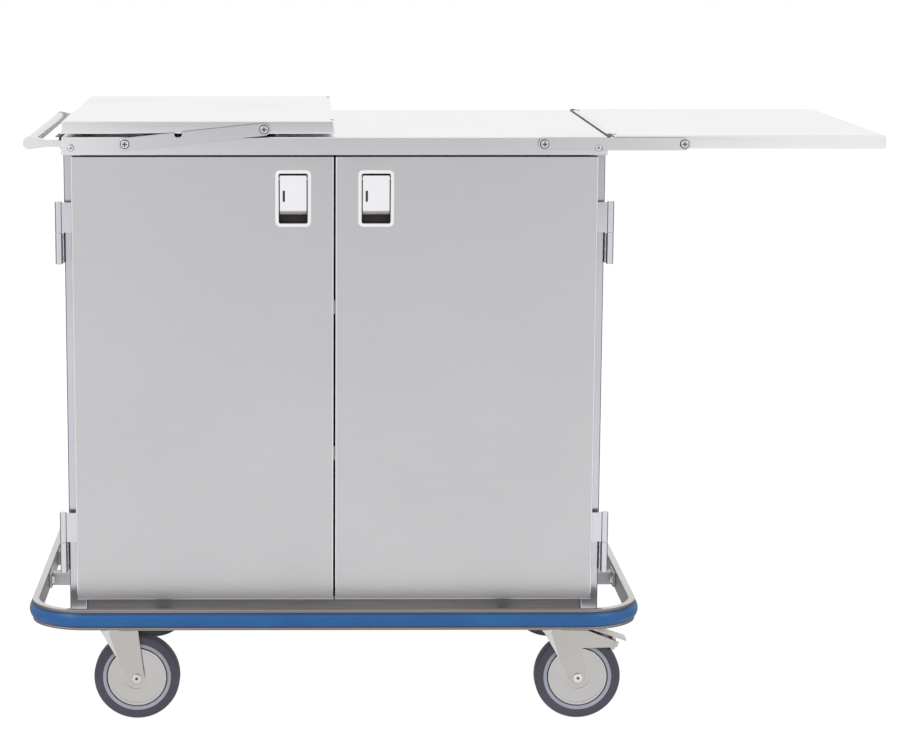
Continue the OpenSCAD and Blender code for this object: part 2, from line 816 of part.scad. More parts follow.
module latch_bolt(side) {
    foot_top = paddle_axis_z - tail_t / 2 - pass;
    color(steel) translate([side * latch_x, rod_y, 0]) {
        translate([0, 0, foot_top - foot_t]) cylinder(h = foot_t, r = foot_r);
        translate([0, 0, foot_top - foot_t]) cylinder(h = bolt_top - foot_top, r = rod_r);
        translate([0, 0, bolt_shoulder_z]) cylinder(h = bolt_top - bolt_shoulder_z, r = bolt_r);
    }
}

// A leaf as it lies level, with its pivot at the origin and its inner edge at -X
module leaf_pan() {
    top = leaf_pivot_drop;
    low = top - leaf_h;
    near = -leaf_pivot_in;
    far = near + leaf_len;
    difference() {
        union() {
            block([near, -half_d, top - sheet], [far, half_d, top]);
            block([near, -half_d, top - leaf_lip], [near + sheet, half_d, top]);
            block([far - sheet, -half_d, low], [far, half_d, top]);
            block([far - leaf_return, -half_d, low], [far, half_d, low + sheet]);
            front_and_back() {
                block([near, -half_d, low], [far, -half_d + sheet, top]);
                block([near, -half_d, low], [far, -half_d + leaf_return, low + sheet]);
            }
        }
        front_and_back() bar_y(0, 0, -half_d - 1, -half_d + sheet + 1, pivot_r + 0.1);
        reliefs(near - 1, near + relief_in, top - leaf_lip - 1, top + 1);
    }
}

// Where a leaf's pivot lies: folded over the deck on the left, swung out on the right
module at_leaf(side) {
    if (side > 0) translate([open_x, 0, arm_z]) children();
    else translate([-folded_x, 0, folded_pivot_z]) mirror([1, 0, 0]) children();
}

module leaf(side) {
    color(pale) at_leaf(side) leaf_pan();
}

// Two channels under a leaf, as deep as its rest on the deck and short of its front and back
module stiffener(side) {
    top = leaf_pivot_drop - sheet;
    color(steel) at_leaf(side) for (x = stiffener_xs) difference() {
        block([x, -stiffener_d, top - stiffener_h], [x + stiffener_w, stiffener_d, top]);
        block([x + sheet, -stiffener_d - 1, top - stiffener_h + sheet],
              [x + stiffener_w - sheet, stiffener_d + 1, top - sheet]);
    }
}

module leaf_pivots(side) {
    color(bright) at_leaf(side) front_and_back() pivot_bolt(0, 0);
}

// An arm from its deck pivot at the origin along +X, with the notch under it
module arm_shape() {
    difference() {
        strip(arm_len, arm_w);
        circle(pivot_r + fit);
        translate([arm_len, 0]) circle(pivot_r + fit);
        translate([notch_x, -notch_drop]) circle(notch_r);
        translate([notch_x - notch_r, -notch_drop - arm_w]) square([2 * notch_r, arm_w]);
    }
}

module arms(side) {
    turn = side > 0 ? 0 : 180 - fold_angle;
    color(bright) on_side(side) front_and_back()
        translate([arm_pivot_x, 0, arm_z]) rotate([0, -turn, 0])
            plate_y(-arm_out, -arm_in) arm_shape();
}

// The children at one caster's swivel axis
module at_caster(sx, sy) {
    translate([sx * caster_x, sy * caster_y, 0]) children();
}

module caster_plates() {
    race_t = 4;
    color(steel) for (sx = [-1, 1], sy = [-1, 1]) at_caster(sx, sy) {
        block([-plate_l / 2, -plate_w / 2, chassis_z - plate_t], [plate_l / 2, plate_w / 2, chassis_z]);
        translate([0, 0, race_z + pass])
            cylinder(h = chassis_z - plate_t - race_z - pass, r = race_r);
        translate([0, 0, crown_z - pass - kingpin_head_t])
            cylinder(h = kingpin_head_t, r = kingpin_head_r);
        translate([0, 0, crown_z - pass - kingpin_head_t])
            cylinder(h = chassis_z - crown_z - race_t, r = kingpin_r);
    }
}

// A leg of the fork seen from the front, with or without an ear for the brake
module leg_shape(braked) {
    difference() {
        union() {
            polygon([[-leg_lead, crown_z + crown_t], [leg_lag, crown_z + crown_t],
                     [trail + fork_end_r, wheel_r], [trail - fork_end_r, wheel_r]]);
            translate([trail, wheel_r]) circle(fork_end_r);
            if (braked) {
                polygon([[leg_lag - 8, crown_z + crown_t], [leg_lag + 12, crown_z + crown_t],
                         [trail + ear_reach, wheel_r + brake_pivot_up + 3],
                         [trail + ear_reach - 3, wheel_r + brake_pivot_up - 6],
                         [trail, wheel_r + brake_pivot_up - 8]]);
            }
        }
        translate([trail, wheel_r]) circle(axle_r + 0.1);
        if (braked)
            translate([trail + brake_pivot_out, wheel_r + brake_pivot_up]) circle(3 + fit);
    }
}

module fork(sx, sy, braked = false) {
    color(bright) at_caster(sx, sy) {
        difference() {
            union() {
                block([-leg_lead, -fork_out, crown_z], [leg_lag, fork_out, crown_z + crown_t]);
                translate([0, 0, crown_z]) cylinder(h = race_z - crown_z, r = race_r - 4);
            }
            translate([0, 0, crown_z - 1]) cylinder(h = race_z, r = kingpin_r + fit);
        }
        front_and_back() plate_y(-fork_out, -fork_in) leg_shape(braked);
    }
}

module axle(sx, sy) {
    head_t = 4;
    nut_r = 8;
    color(bright) at_caster(sx, sy) {
        bar_y(trail, wheel_r, -fork_out, fork_out, axle_r);
        bar_y(trail, wheel_r, -fork_out - head_t, -fork_out, nut_r);
        bar_y(trail, wheel_r, fork_out, fork_out + head_t + 2, nut_r);
    }
}

// A ring or disc about the wheel's axis, between two radii and two half widths
module wheel_ring(r0, r1, y0, y1) {
    translate([r0, y0]) square([r1 - r0, y1 - y0]);
}

module wheel(sx, sy) {
    rim_half = tyre_w / 2 - 1;
    cover_t = 1.5;
    color(bright) at_caster(sx, sy) translate([trail, 0, wheel_r]) rotate([90, 0, 0])
        rotate_extrude() {
            wheel_ring(axle_r + fit, hub_r, -hub_w / 2, hub_w / 2);
            wheel_ring(hub_r - 1, rim_r, -4, 4);
            wheel_ring(cover_r + 0.8, rim_r, -rim_half, rim_half);
            wheel_ring(hub_r - 1, cover_r, -rim_half, -rim_half + cover_t);
            wheel_ring(hub_r - 1, cover_r, rim_half - cover_t, rim_half);
        }
}

module tyre(sx, sy) {
    edge_r = 6;
    half = tyre_w / 2;
    color(dark) at_caster(sx, sy) translate([trail, 0, wheel_r]) rotate([90, 0, 0])
        rotate_extrude() {
            wheel_ring(rim_r, wheel_r - edge_r, -half, half);
            wheel_ring(rim_r, wheel_r, -half + edge_r, half - edge_r);
            for (y = [-1, 1]) translate([wheel_r - edge_r, y * (half - edge_r)]) circle(edge_r);
        }
}

// A pedal that rocks between the ears and brings its shoe against the tyre
module pedal(sx, sy) {
    px = trail + brake_pivot_out;
    pz = wheel_r + brake_pivot_up;
    in_end = [trail + pedal_in_x, wheel_r + pedal_in_up];
    out_end = [trail + pedal_out_x, wheel_r + pedal_out_up];
    inner = fork_in - pass;
    slope = (out_end[1] - in_end[1]) / (out_end[0] - in_end[0]);
    under = in_end[1] + (px - in_end[0]) * slope + pedal_t / 2;
    color(steel) at_caster(sx, sy) {
        plate_y(-pedal_half, pedal_half) {
            polygon([in_end, out_end, out_end + [0, pedal_t], in_end + [0, pedal_t]]);
            polygon([[px - 3, pz], [px + 3, pz], [px + 3, under + 3 * slope], [px - 3, under - 3 * slope]]);
            polygon([[px - 3, pz], [px + 3, pz], [px - shoe_back + 2, pz - shoe_down],
                     [px - shoe_back - 2, pz - shoe_down]]);
        }
        bar_y(px, pz, -inner, inner, brake_boss_r);
        bar_y(px, pz, -fork_out, fork_out, 3);
        bar_y(px - shoe_back, pz - shoe_down, -tyre_w / 2 + 3, tyre_w / 2 - 3, shoe_r);
    }
}

deck();
posts();
top_rails();
chassis();
side_panel(-1);  // left_panel
side_panel(1);  // right_panel
back_panel();
floor_panel();
pilasters();
shelf_rails();
shelves();
keeper_angles();
deck_pivots();
handle_tube();
handle_brackets();
bumper_channel();
bumper_insert();
bumper_brackets();
post_hinges();
strikes();
caster_plates();
leaf(-1);  // left_leaf
stiffener(-1);  // left_stiffener
leaf_pivots(-1);  // left_leaf_pivots
arms(-1);  // left_arms
leaf(1);  // right_leaf
stiffener(1);  // right_stiffener
leaf_pivots(1);  // right_leaf_pivots
arms(1);  // right_arms
door(-1);  // left_door
door_liner(-1);  // left_door_liner
door_hinges(-1);  // left_door_hinges
latch_cup(-1);  // left_latch_cup
paddle(-1);  // left_paddle
latch_bolt(-1);  // left_latch_bolt
door(1);  // right_door
door_liner(1);  // right_door_liner
door_hinges(1);  // right_door_hinges
latch_cup(1);  // right_latch_cup
paddle(1);  // right_paddle
latch_bolt(1);  // right_latch_bolt
fork(-1, -1);  // front_left_fork
axle(-1, -1);  // front_left_axle
wheel(-1, -1);  // front_left_wheel
tyre(-1, -1);  // front_left_tyre
fork(1, -1, true);  // front_right_fork
axle(1, -1);  // front_right_axle
wheel(1, -1);  // front_right_wheel
tyre(1, -1);  // front_right_tyre
fork(-1, 1, true);  // rear_left_fork
axle(-1, 1);  // rear_left_axle
wheel(-1, 1);  // rear_left_wheel
tyre(-1, 1);  // rear_left_tyre
fork(1, 1);  // rear_right_fork
axle(1, 1);  // rear_right_axle
wheel(1, 1);  // rear_right_wheel
tyre(1, 1);  // rear_right_tyre
pedal(1, -1);  // front_right_pedal
pedal(-1, 1);  // rear_left_pedal
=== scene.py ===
"""Looks of a closed stainless case cart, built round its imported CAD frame.

Lengths in this file are millimetres in the cart's own frame: X along the cart, Y from the doors to
the back, Z up from the floor. A Piece turns them to metres as it is made.
"""
import logging
import math
from collections.abc import Callable, Iterator
from contextlib import contextmanager
from dataclasses import dataclass, field
from enum import Enum
from itertools import product

import bmesh
import bpy
from mathutils import Matrix, Vector


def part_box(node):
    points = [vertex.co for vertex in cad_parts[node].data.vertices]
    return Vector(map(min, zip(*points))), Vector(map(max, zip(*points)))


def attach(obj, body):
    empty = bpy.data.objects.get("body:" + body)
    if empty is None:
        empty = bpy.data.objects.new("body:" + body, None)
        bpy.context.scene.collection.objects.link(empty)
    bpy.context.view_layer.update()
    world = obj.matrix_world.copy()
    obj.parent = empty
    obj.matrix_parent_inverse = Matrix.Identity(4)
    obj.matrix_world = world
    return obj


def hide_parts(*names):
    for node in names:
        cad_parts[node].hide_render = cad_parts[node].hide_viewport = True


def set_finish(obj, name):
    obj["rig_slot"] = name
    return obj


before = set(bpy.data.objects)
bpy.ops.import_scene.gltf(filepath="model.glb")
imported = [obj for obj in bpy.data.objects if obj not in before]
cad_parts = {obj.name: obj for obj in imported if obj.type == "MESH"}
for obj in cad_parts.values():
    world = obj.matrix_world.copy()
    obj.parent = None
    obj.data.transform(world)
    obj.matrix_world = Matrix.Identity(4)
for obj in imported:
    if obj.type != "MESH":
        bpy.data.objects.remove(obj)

MM = 0.001
Point = tuple[float, float, float]
FaceTest = Callable[[Vector, Vector], bool]
EdgeTest = Callable[[Vector, Vector, float], bool]
CornerTest = Callable[[Vector], bool]
Span = tuple[float, float]
log = logging.getLogger("case_cart")


class Side(Enum):
    """A side of the cart, with the sign of its X."""

    LEFT = -1
    RIGHT = 1

    @property
    def word(self) -> str:
        """The side's name as the CAD nodes spell it."""
        return self.name.lower()


class Grain(Enum):
    """The way a surface's brushing or moulding runs, as the stretch of its pattern along X, Y and Z."""

    ALONG_X = (0.02, 1.0, 1.0)
    ALONG_Y = (1.0, 0.02, 1.0)
    ALONG_Z = (1.0, 1.0, 0.02)
    EVEN = (1.0, 1.0, 1.0)


DOWN = Vector((0, 0, -1))
FRONT, BACK = Vector((0, -1, 0)), Vector((0, 1, 0))


def facing(way: Vector, least: float = 0.9) -> FaceTest:
    """A test for faces that look one way.

    Args:
        way: the direction they look.
        least: the least cosine between it and the face's normal.

    Returns:
        The test, for Piece's face methods.
    """
    return lambda middle, normal: normal.dot(way) > least


def sharp(middle: Vector, run: Vector, fold: float) -> bool:
    """True for an edge where two faces fold by more than 20 degrees."""
    return fold > math.radians(20)


def folded(middle: Vector, run: Vector, fold: float) -> bool:
    """True for an edge where two faces fold by more than a radian."""
    return fold > 1


def fore_and_aft(middle: Vector, run: Vector, fold: float) -> bool:
    """True for an edge that runs from front to back."""
    return abs(run.y) > 0.9


def anywhere(middle: Vector, normal: Vector) -> bool:
    """True for every face."""
    return True


def level_face(middle: Vector, normal: Vector) -> bool:
    """True for a face that looks up or down."""
    return abs(normal.z) > 0.9


def endwise(middle: Vector, normal: Vector) -> bool:
    """True for a face that looks straight to the front or the back."""
    return abs(normal.y) > 0.99


def extent(node: str) -> tuple[Vector, Vector]:
    """The lowest and highest corner of a CAD node, in millimetres.

    Args:
        node: the node's name.

    Returns:
        Both corners.
    """
    low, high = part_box(node)
    return Vector(low) / MM, Vector(high) / MM


# Finishes


def linear(code: str) -> tuple[float, float, float, float]:
    """An sRGB colour as Blender's linear light.

    Args:
        code: six hex digits after a hash.

    Returns:
        Red, green, blue and a full alpha.
    """
    parts = [int(code[i:i + 2], 16) / 255 for i in (1, 3, 5)]
    return (*[p / 12.92 if p <= 0.04045 else ((p + 0.055) / 1.055) ** 2.4 for p in parts], 1.0)


def add_node(tree: bpy.types.NodeTree, kind: str, inputs: dict | None = None,
             **settings) -> bpy.types.Node:
    """Adds a shader node with its settings, values and links.

    Args:
        tree: the material's node tree.
        kind: the node's type.
        inputs: a value or an output socket for each named or numbered input.
        **settings: attributes of the node.

    Returns:
        The new node.
    """
    node = tree.nodes.new(kind)
    for key, value in settings.items():
        setattr(node, key, value)
    for key, value in (inputs or {}).items():
        if isinstance(value, bpy.types.NodeSocket):
            tree.links.new(value, node.inputs[key])
        else:
            node.inputs[key].default_value = value
    return node


def empty_material(name: str) -> bpy.types.Material:
    """A material with an empty node tree.

    Args:
        name: its name.

    Returns:
        The material.
    """
    material = bpy.data.materials.new(name)
    material.use_nodes = True
    material.node_tree.nodes.clear()
    return material


@dataclass(frozen=True)
class Finish:
    """A surface: its colour and the fine pattern left by the way that it was made."""

    name: str
    slot: str
    colour: str
    deep: str
    metallic: float
    rough: float
    rough_spread: float = 0.06
    grain: Grain = Grain.EVEN
    grain_mm: float = 1.6
    bump: float = 0.05
    cloud_mm: float = 260.0
    coat: float = 0.0

    def build(self) -> bpy.types.Material:
        """Makes the material.

        A fine stretched noise gives the brushing or the moulded grain, and a broad one the slow
        change of tone that handling and rolling leave.

        Returns:
            The material.
        """
        material = empty_material(self.name)
        tree = material.node_tree
        place = add_node(tree, "ShaderNodeTexCoord")
        per_metre = 1 / (self.grain_mm * MM)
        stretch = add_node(tree, "ShaderNodeMapping", {
            "Vector": place.outputs["Object"],
            "Scale": tuple(per_metre * s for s in self.grain.value)})
        fine = add_node(tree, "ShaderNodeTexNoise", {
            "Vector": stretch.outputs[0], "Scale": 1.0, "Detail": 3.0, "Roughness": 0.6})
        broad = add_node(tree, "ShaderNodeTexNoise", {
            "Vector": place.outputs["Object"], "Scale": 1 / (self.cloud_mm * MM), "Detail": 2.0})
        both = add_node(tree, "ShaderNodeMix", {
            "Factor": 0.5, "A": fine.outputs[0], "B": broad.outputs[0]}, data_type="FLOAT")
        tone = add_node(tree, "ShaderNodeMapRange", {
            "Value": both.outputs[0], "From Min": 0.36, "From Max": 0.64})
        colour = add_node(tree, "ShaderNodeMix", {
            "Factor": tone.outputs[0], "A": linear(self.deep), "B": linear(self.colour)},
            data_type="RGBA")
        rough = add_node(tree, "ShaderNodeMapRange", {
            "Value": both.outputs[0], "From Min": 0.36, "From Max": 0.64,
            "To Min": self.rough + self.rough_spread, "To Max": self.rough - self.rough_spread})
        bump = add_node(tree, "ShaderNodeBump", {
            "Height": fine.outputs[0], "Strength": self.bump, "Distance": 0.2 * MM})
        shader = add_node(tree, "ShaderNodeBsdfPrincipled", {
            "Base Color": colour.outputs["Result"], "Metallic": self.metallic,
            "Roughness": rough.outputs[0], "Normal": bump.outputs[0], "Coat Weight": self.coat,
            "Coat Roughness": 0.2})
        add_node(tree, "ShaderNodeOutputMaterial", {"Surface": shader.outputs[0]})
        return material


# Stainless sheet, number 4 finish: belt-brushed, so each stroke is a long fine scratch that spreads
# the light across it. The strokes are really 0.3 mm apart, and are drawn 1.2 mm apart to show.
DOOR_SHEET = Finish("stainless_sheet_brushed_across", "brushed_stainless", "#C8C7C9", "#C4C3C5",
                    0.92, 0.38, 0.03, Grain.ALONG_X, 1.2, 0.01)
SIDE_SHEET = Finish("stainless_sheet_brushed_along_y", "brushed_stainless", "#C6C6C8", "#BDBDBF",
                    0.92, 0.38, 0.04, Grain.ALONG_Y, 1.2, 0.02)
# The worktop's sheet has the same brushing under a polish: it mirrors the room softly
DECK_SHEET = Finish("stainless_worktop_polished", "polished_stainless", "#EBEBED", "#E7E7E9",
                    0.95, 0.20, 0.02, Grain.ALONG_X, 1.2, 0.01)
# Stainless tube and flat bar, polished with a fine belt: closer to a mirror than the sheets
POST_TUBE = Finish("stainless_tube_polished", "brushed_stainless", "#C9C9D0", "#C1C1C9",
                   0.95, 0.20, 0.03, Grain.ALONG_Z, 1.2, 0.01)
# The doors' bevelled side edges wear it too, as a painted highlight.
BRIGHT_BAR_AND_HIGHLIGHT = Finish("stainless_bar_polished", "polished_stainless", "#EAEAEC", "#E5E5E8",
                    0.95, 0.20, 0.02, Grain.EVEN, 1.2, 0.01)
LINK_BAR = Finish("stainless_flat_bar_brushed", "polished_stainless", "#E2E2E5", "#DCDCDF",
                  0.95, 0.22, 0.02, Grain.EVEN, 1.2, 0.01)
# The hinges' drawn barrels and plates: satin, so each barrel shows a soft bright line
HINGE_STEEL = Finish("stainless_hinge_satin", "polished_stainless", "#D2D2D8", "#CBCBD2",
                     0.97, 0.17, 0.02, Grain.ALONG_Z, 1.2, 0.01)
HANDLE_TUBE = Finish("stainless_handle_polished", "polished_stainless", "#D6D6D9", "#D0D0D3",
                     0.95, 0.20, 0.02, Grain.ALONG_Y, 1.2, 0.01)
# Painted shade: dull dark steel on the barrels' flanks, the arms' edges and the posts' corners. It
# stands for the dark lines that outline them in the photograph, and isn't a finish known from the
# real cart.
OUTLINE_SHADE = Finish("stainless_painted_outline_shade", "polished_stainless", "#4C4A4E", "#434145", 0.4, 0.5,
                    0.03, Grain.ALONG_Z, 1.6, 0.02)
# Mill-finish steel of the hidden frame, whose finish is a guess: rolled and dull
MILL_STEEL = Finish("stainless_mill_finish", "frame_steel", "#BFBFC2", "#A9A9AD", 0.9, 0.42, 0.07)
# The chassis under the floor sheet: the same rolled steel in thicker section, dull, and darker as
# painted shade for the shadow under the doors. The strikes, the stop pins' rings and the axle
# sockets wear it as painted shade too.
CHASSIS_STEEL_SHADED = Finish("stainless_mill_finish_dark", "chassis_steel", "#8F8B8C", "#7E7A7B", 0.7,
                       0.68, 0.06, Grain.ALONG_X, 3.0, 0.06)
# The bumper's channel: roll-formed and left satin, so it greys softly above the blue strip
CHANNEL_STEEL = Finish("stainless_channel_satin", "frame_steel", "#D2D0D0", "#C2C0C0", 0.95,
                       0.30, 0.04, Grain.ALONG_X, 1.6, 0.02)
# A warm dull grey on the channel's lips: painted shade and reflection, matched to the lines that
# frame the blue strip in the photograph
LIP_SHADE_STEEL = Finish("stainless_lip_painted_shade", "frame_steel", "#8C827C", "#7E756F", 0.9, 0.4,
                   0.05, Grain.ALONG_X, 2.0, 0.04)
# Zinc plate on the casters' pressed steel: warm and satin. Its grain is drawn 3 mm wide to show.
CASTER_PLATE = Finish("steel_pressing_zinc_plated", "bright_zinc", "#BAB7B4", "#B6B3B0", 0.95, 0.26,
                      0.03, Grain.EVEN, 3.0, 0.01, 60.0)
# Painted shade: a dull dark line on the pressings' sheared edges, matched to the photograph
PLATE_EDGE_SHADE = Finish("steel_pressing_painted_edge_shade", "bright_zinc", "#6E6B69", "#625F5D", 0.5, 0.45,
                    0.04, Grain.EVEN, 1.5, 0.02)
# A painted highlight on the cheeks' leading facets, a shade lighter than the rest to match the
# photograph
PLATE_FACET_HIGHLIGHT = Finish("steel_pressing_painted_facet_highlight", "bright_zinc", "#D6D3D3", "#CECBCB", 0.9, 0.2,
                    0.02, Grain.EVEN, 3.0, 0.01, 60.0)
# Polished cover disc of the wheel: turned and buffed, nearly a mirror
COVER_DISC = Finish("steel_disc_buffed", "bright_zinc", "#BFBDBC", "#B8B6B5", 0.95, 0.18, 0.03,
                    Grain.EVEN, 3.0, 0.01, 70.0)
# Machine screws and pins: turned stainless, bright with fine tool marks
TURNED_STEEL = Finish("stainless_screw_turned", "fastener_steel", "#E4E4E6", "#CDCDD0", 0.95, 0.24,
                      0.06, Grain.EVEN, 1.2)
# The latches' bolts, drawn as dark rod: painted shade that keeps them dark in the gap over a door.
# The keepers' upright faces and ends wear it too, as painted shade for the dark line of the gap.
BOLT_GAP_SHADE = Finish("steel_bolt_painted_gap_shade", "fastener_steel", "#5E5C5E", "#525052", 0.8, 0.4)
# Washers between the arms and the deck, drawn matt and dark: painted shade, a dark ring round each
# head. The floors of the cross recesses wear it as painted shade too.
SCREW_SHADE = Finish("screw_painted_shade", "fastener_steel", "#3A3637", "#2F2C2D", 0.0, 0.5)
# Die-cast latch, silver enamelled: a smooth even lacquer over zinc
LATCH_ENAMEL = Finish("zinc_casting_silver_enamel", "latch_silver", "#F4F4F6", "#EEEEF0", 0.25,
                      0.34, 0.03, Grain.EVEN, 2.0, 0.03, 60.0, 0.2)
# Painted shade on the paddle's curled lip, a shade under the enamel to match the photograph
LATCH_LIP_SHADE = Finish("zinc_casting_painted_lip_shade", "latch_silver", "#D0CCCB", "#C4C0BF", 0.3, 0.42, 0.03,
                   Grain.EVEN, 2.0, 0.03, 60.0)
# Painted shade in the latch's finger recess and behind its key slot: matt near-black, so it reads
# as a dark hole
LATCH_WELL_SHADE = Finish("latch_well_painted_shade", "latch_silver", "#332B29", "#2A2322", 0.0, 0.55)
# Soft PVC bumper strip: extruded, so it is smooth along its length with a dull gloss
BUMPER_VINYL = Finish("pvc_bumper_extruded_blue", "blue_vinyl", "#10609D", "#0C5290", 0.0, 0.40,
                      0.05, Grain.EVEN, 2.5, 0.05, 90.0)
# Painted shade on the strip's upper and lower edges, a deeper blue to match the photograph
VINYL_EDGE_SHADE = Finish("pvc_bumper_painted_edge_shade", "blue_vinyl", "#0F4677", "#0B3D6B", 0.0, 0.45,
                    0.05, Grain.EVEN, 2.5, 0.05, 90.0)
# Grey non-marking tyre rubber, compression moulded: matt with a slight bloom
TYRE_RUBBER = Finish("rubber_tyre_grey", "grey_tyre", "#494855", "#403F4C", 0.0, 0.52, 0.06,
                     Grain.EVEN, 1.5, 0.15, 70.0)
# Nylon wheel rim, moulded in pale blue grey: a soft even gloss
RIM_NYLON = Finish("nylon_rim_pale_grey", "grey_tyre", "#ACAFBC", "#A0A4B1", 0.0, 0.38, 0.04,
                   Grain.EVEN, 1.5, 0.05, 60.0)
# Painted shade in the gap between a wheel's disc and rim: matt near-black
RIM_GAP_SHADE = Finish("rim_gap_painted_shade", "grey_tyre", "#222124", "#1B1A1D", 0.0, 0.6)


class Wardrobe:
    """Builds each finish once and hands it out."""

    def __init__(self) -> None:
        """Starts with nothing built."""
        self.made: dict[str, bpy.types.Material] = {}

    def get(self, finish: Finish) -> bpy.types.Material:
        """The finish's material.

        Args:
            finish: which finish.

        Returns:
            The material, built on its first use.
        """
        if finish.name not in self.made:
            self.made[finish.name] = finish.build()
        return self.made[finish.name]


wardrobe = Wardrobe()


# The bench: one piece of metal, rubber or plastic in the hand


def select_only(*objects: bpy.types.Object) -> None:
    """Deselects everything, then selects these objects and makes the first one active.

    Args:
        *objects: what to select.
    """
    bpy.ops.object.select_all(action="DESELECT")
    for item in objects:
        item.select_set(True)
    if objects:
        bpy.context.view_layer.objects.active = objects[0]


class Piece:
    """One mesh, shaped with Blender's own tools. Its lengths are millimetres."""

    def __init__(self, obj: bpy.types.Object) -> None:
        """Takes an object in hand."""
        self.obj = obj

    # Stock

    @classmethod
    def _adopt(cls, name: str) -> "Piece":
        """The object just added, renamed, with its place put into its mesh."""
        obj = bpy.context.active_object
        obj.name = obj.data.name = name
        select_only(obj)
        bpy.ops.object.transform_apply(location=True, rotation=True, scale=True)
        return cls(obj)

    @classmethod
    def box(cls, name: str, low: Point | Vector, high: Point | Vector) -> "Piece":
        """A block of stock between two corners.

        Args:
            name: the piece's name.
            low: its lowest corner.
            high: its highest corner.

        Returns:
            The piece.
        """
        low, high = Vector(low) * MM, Vector(high) * MM
        select_only()
        bpy.ops.mesh.primitive_cube_add(size=1, location=(low + high) / 2)
        bpy.context.active_object.scale = high - low
        return cls._adopt(name)

    @classmethod
    def rod(cls, name: str, start: Point, end: Point, radius: float, sides: int = 48) -> "Piece":
        """A round bar between the middles of its two ends.

        Args:
            name: the piece's name.
            start: the middle of one end.
            end: the middle of the other end.
            radius: the bar's radius.
            sides: how many flats make it round.

        Returns:
            The piece.
        """
        start, end = Vector(start) * MM, Vector(end) * MM
        run = end - start
        select_only()
        bpy.ops.mesh.primitive_cylinder_add(
            vertices=sides, radius=radius * MM, depth=run.length, location=(start + end) / 2,
            rotation=run.to_track_quat("Z", "Y").to_euler())
        return cls._adopt(name)

    @classmethod
    def from_node(cls, name: str, node: str) -> "Piece":
        """A copy of a CAD node's mesh with its loose triangles merged into whole faces.

        Args:
            name: the piece's name.
            node: the CAD node.

        Returns:
            The piece.
        """
        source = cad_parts[node]
        obj = bpy.data.objects.new(name, source.data.copy())
        obj.data.name = name
        obj.data.materials.clear()
        bpy.context.scene.collection.objects.link(obj)
        piece = cls(obj)
        with piece.editing("VERT"):
            bpy.ops.mesh.select_all(action="SELECT")
            bpy.ops.mesh.remove_doubles(threshold=0.002 * MM)
            bpy.ops.mesh.dissolve_limited(angle_limit=math.radians(0.5))
        return piece

    # Selecting

    @contextmanager
    def editing(self, kind: str, test: Callable[..., bool] | None = None) -> Iterator[None]:
        """Edit mode on this piece alone, with what passes the test selected.

        Args:
            kind: VERT, EDGE or FACE.
            test: picks corners by place, edges by middle, direction and fold (-1 if open), and
                faces by middle and normal; None keeps the selection.

        Yields:
            Nothing; edit mode ends with the block.
        """
        select_only(self.obj)
        bpy.ops.object.mode_set(mode="EDIT")
        bpy.ops.mesh.select_mode(type=kind)
        try:
            if test is not None:
                self._pick(kind, test)
            yield
        finally:
            bpy.ops.object.mode_set(mode="OBJECT")

    def _pick(self, kind: str, test: Callable[..., bool]) -> None:
        """Selects the corners, edges or faces that pass the test.

        Args:
            kind: VERT, EDGE or FACE.
            test: as for editing.
        """
        mesh = bmesh.from_edit_mesh(self.obj.data)
        mesh.normal_update()
        if kind == "FACE":
            for face in mesh.faces:
                face.select_set(bool(test(face.calc_center_median() / MM, face.normal)))
        elif kind == "EDGE":
            for edge in mesh.edges:
                ends = [corner.co / MM for corner in edge.verts]
                fold = edge.calc_face_angle(0.0) if len(edge.link_faces) == 2 else -1.0
                run = (ends[1] - ends[0]).normalized()
                edge.select_set(bool(test((ends[0] + ends[1]) / 2, run, fold)))
        else:
            for corner in mesh.verts:
                corner.select_set(bool(test(corner.co / MM)))
        mesh.select_flush_mode()
        bmesh.update_edit_mesh(self.obj.data)

    # Shaping

    def bevel(self, test: EdgeTest, width: float, segments: int = 3) -> "Piece":
        """Rounds the edges that pass the test.

        Args:
            test: picks the edges.
            width: the rounding's size.
            segments: how many steps make it round.

        Returns:
            The piece.
        """
        with self.editing("EDGE", test):
            bpy.ops.mesh.bevel(offset=width * MM, segments=segments, affect="EDGES",
                               clamp_overlap=True)
        return self

    def inset(self, test: FaceTest | None, width: float) -> "Piece":
        """Insets the faces that pass the test, as one region, and leaves the middle selected."""
        with self.editing("FACE", test):
            bpy.ops.mesh.inset(thickness=width * MM, use_boundary=True, use_even_offset=True)
        return self

    def extrude(self, test: FaceTest | None, move: Point) -> "Piece":
        """Extrudes the faces that pass the test by one move, and leaves them selected."""
        with self.editing("FACE", test):
            bpy.ops.mesh.extrude_region_move(
                TRANSFORM_OT_translate={"value": tuple(v * MM for v in move)})
        return self

    def push(self, test: FaceTest | None, depth: float) -> "Piece":
        """Extrudes the faces that pass the test along their normals; below zero goes inwards."""
        with self.editing("FACE", test):
            bpy.ops.mesh.extrude_region_shrink_fatten(
                TRANSFORM_OT_shrink_fatten={"value": depth * MM, "use_even_offset": True})
        return self

    def delete(self, test: FaceTest | None) -> "Piece":
        """Deletes the faces that pass the test."""
        with self.editing("FACE", test):
            bpy.ops.mesh.delete(type="FACE")
        return self

    def cut(self, test: FaceTest, point: Point | Vector, normal: Point | Vector) -> "Piece":
        """Bisects the faces that pass the test along a plane.

        Args:
            test: picks the faces.
            point: a point on the plane.
            normal: the plane's normal.

        Returns:
            The piece.
        """
        with self.editing("FACE", test):
            bpy.ops.mesh.bisect(plane_co=Vector(point) * MM, plane_no=Vector(normal))
        return self

    def nudge(self, test: CornerTest, move: Point) -> "Piece":
        """Moves the corners that pass the test."""
        with self.editing("VERT", test):
            bpy.ops.transform.translate(value=tuple(v * MM for v in move))
        return self

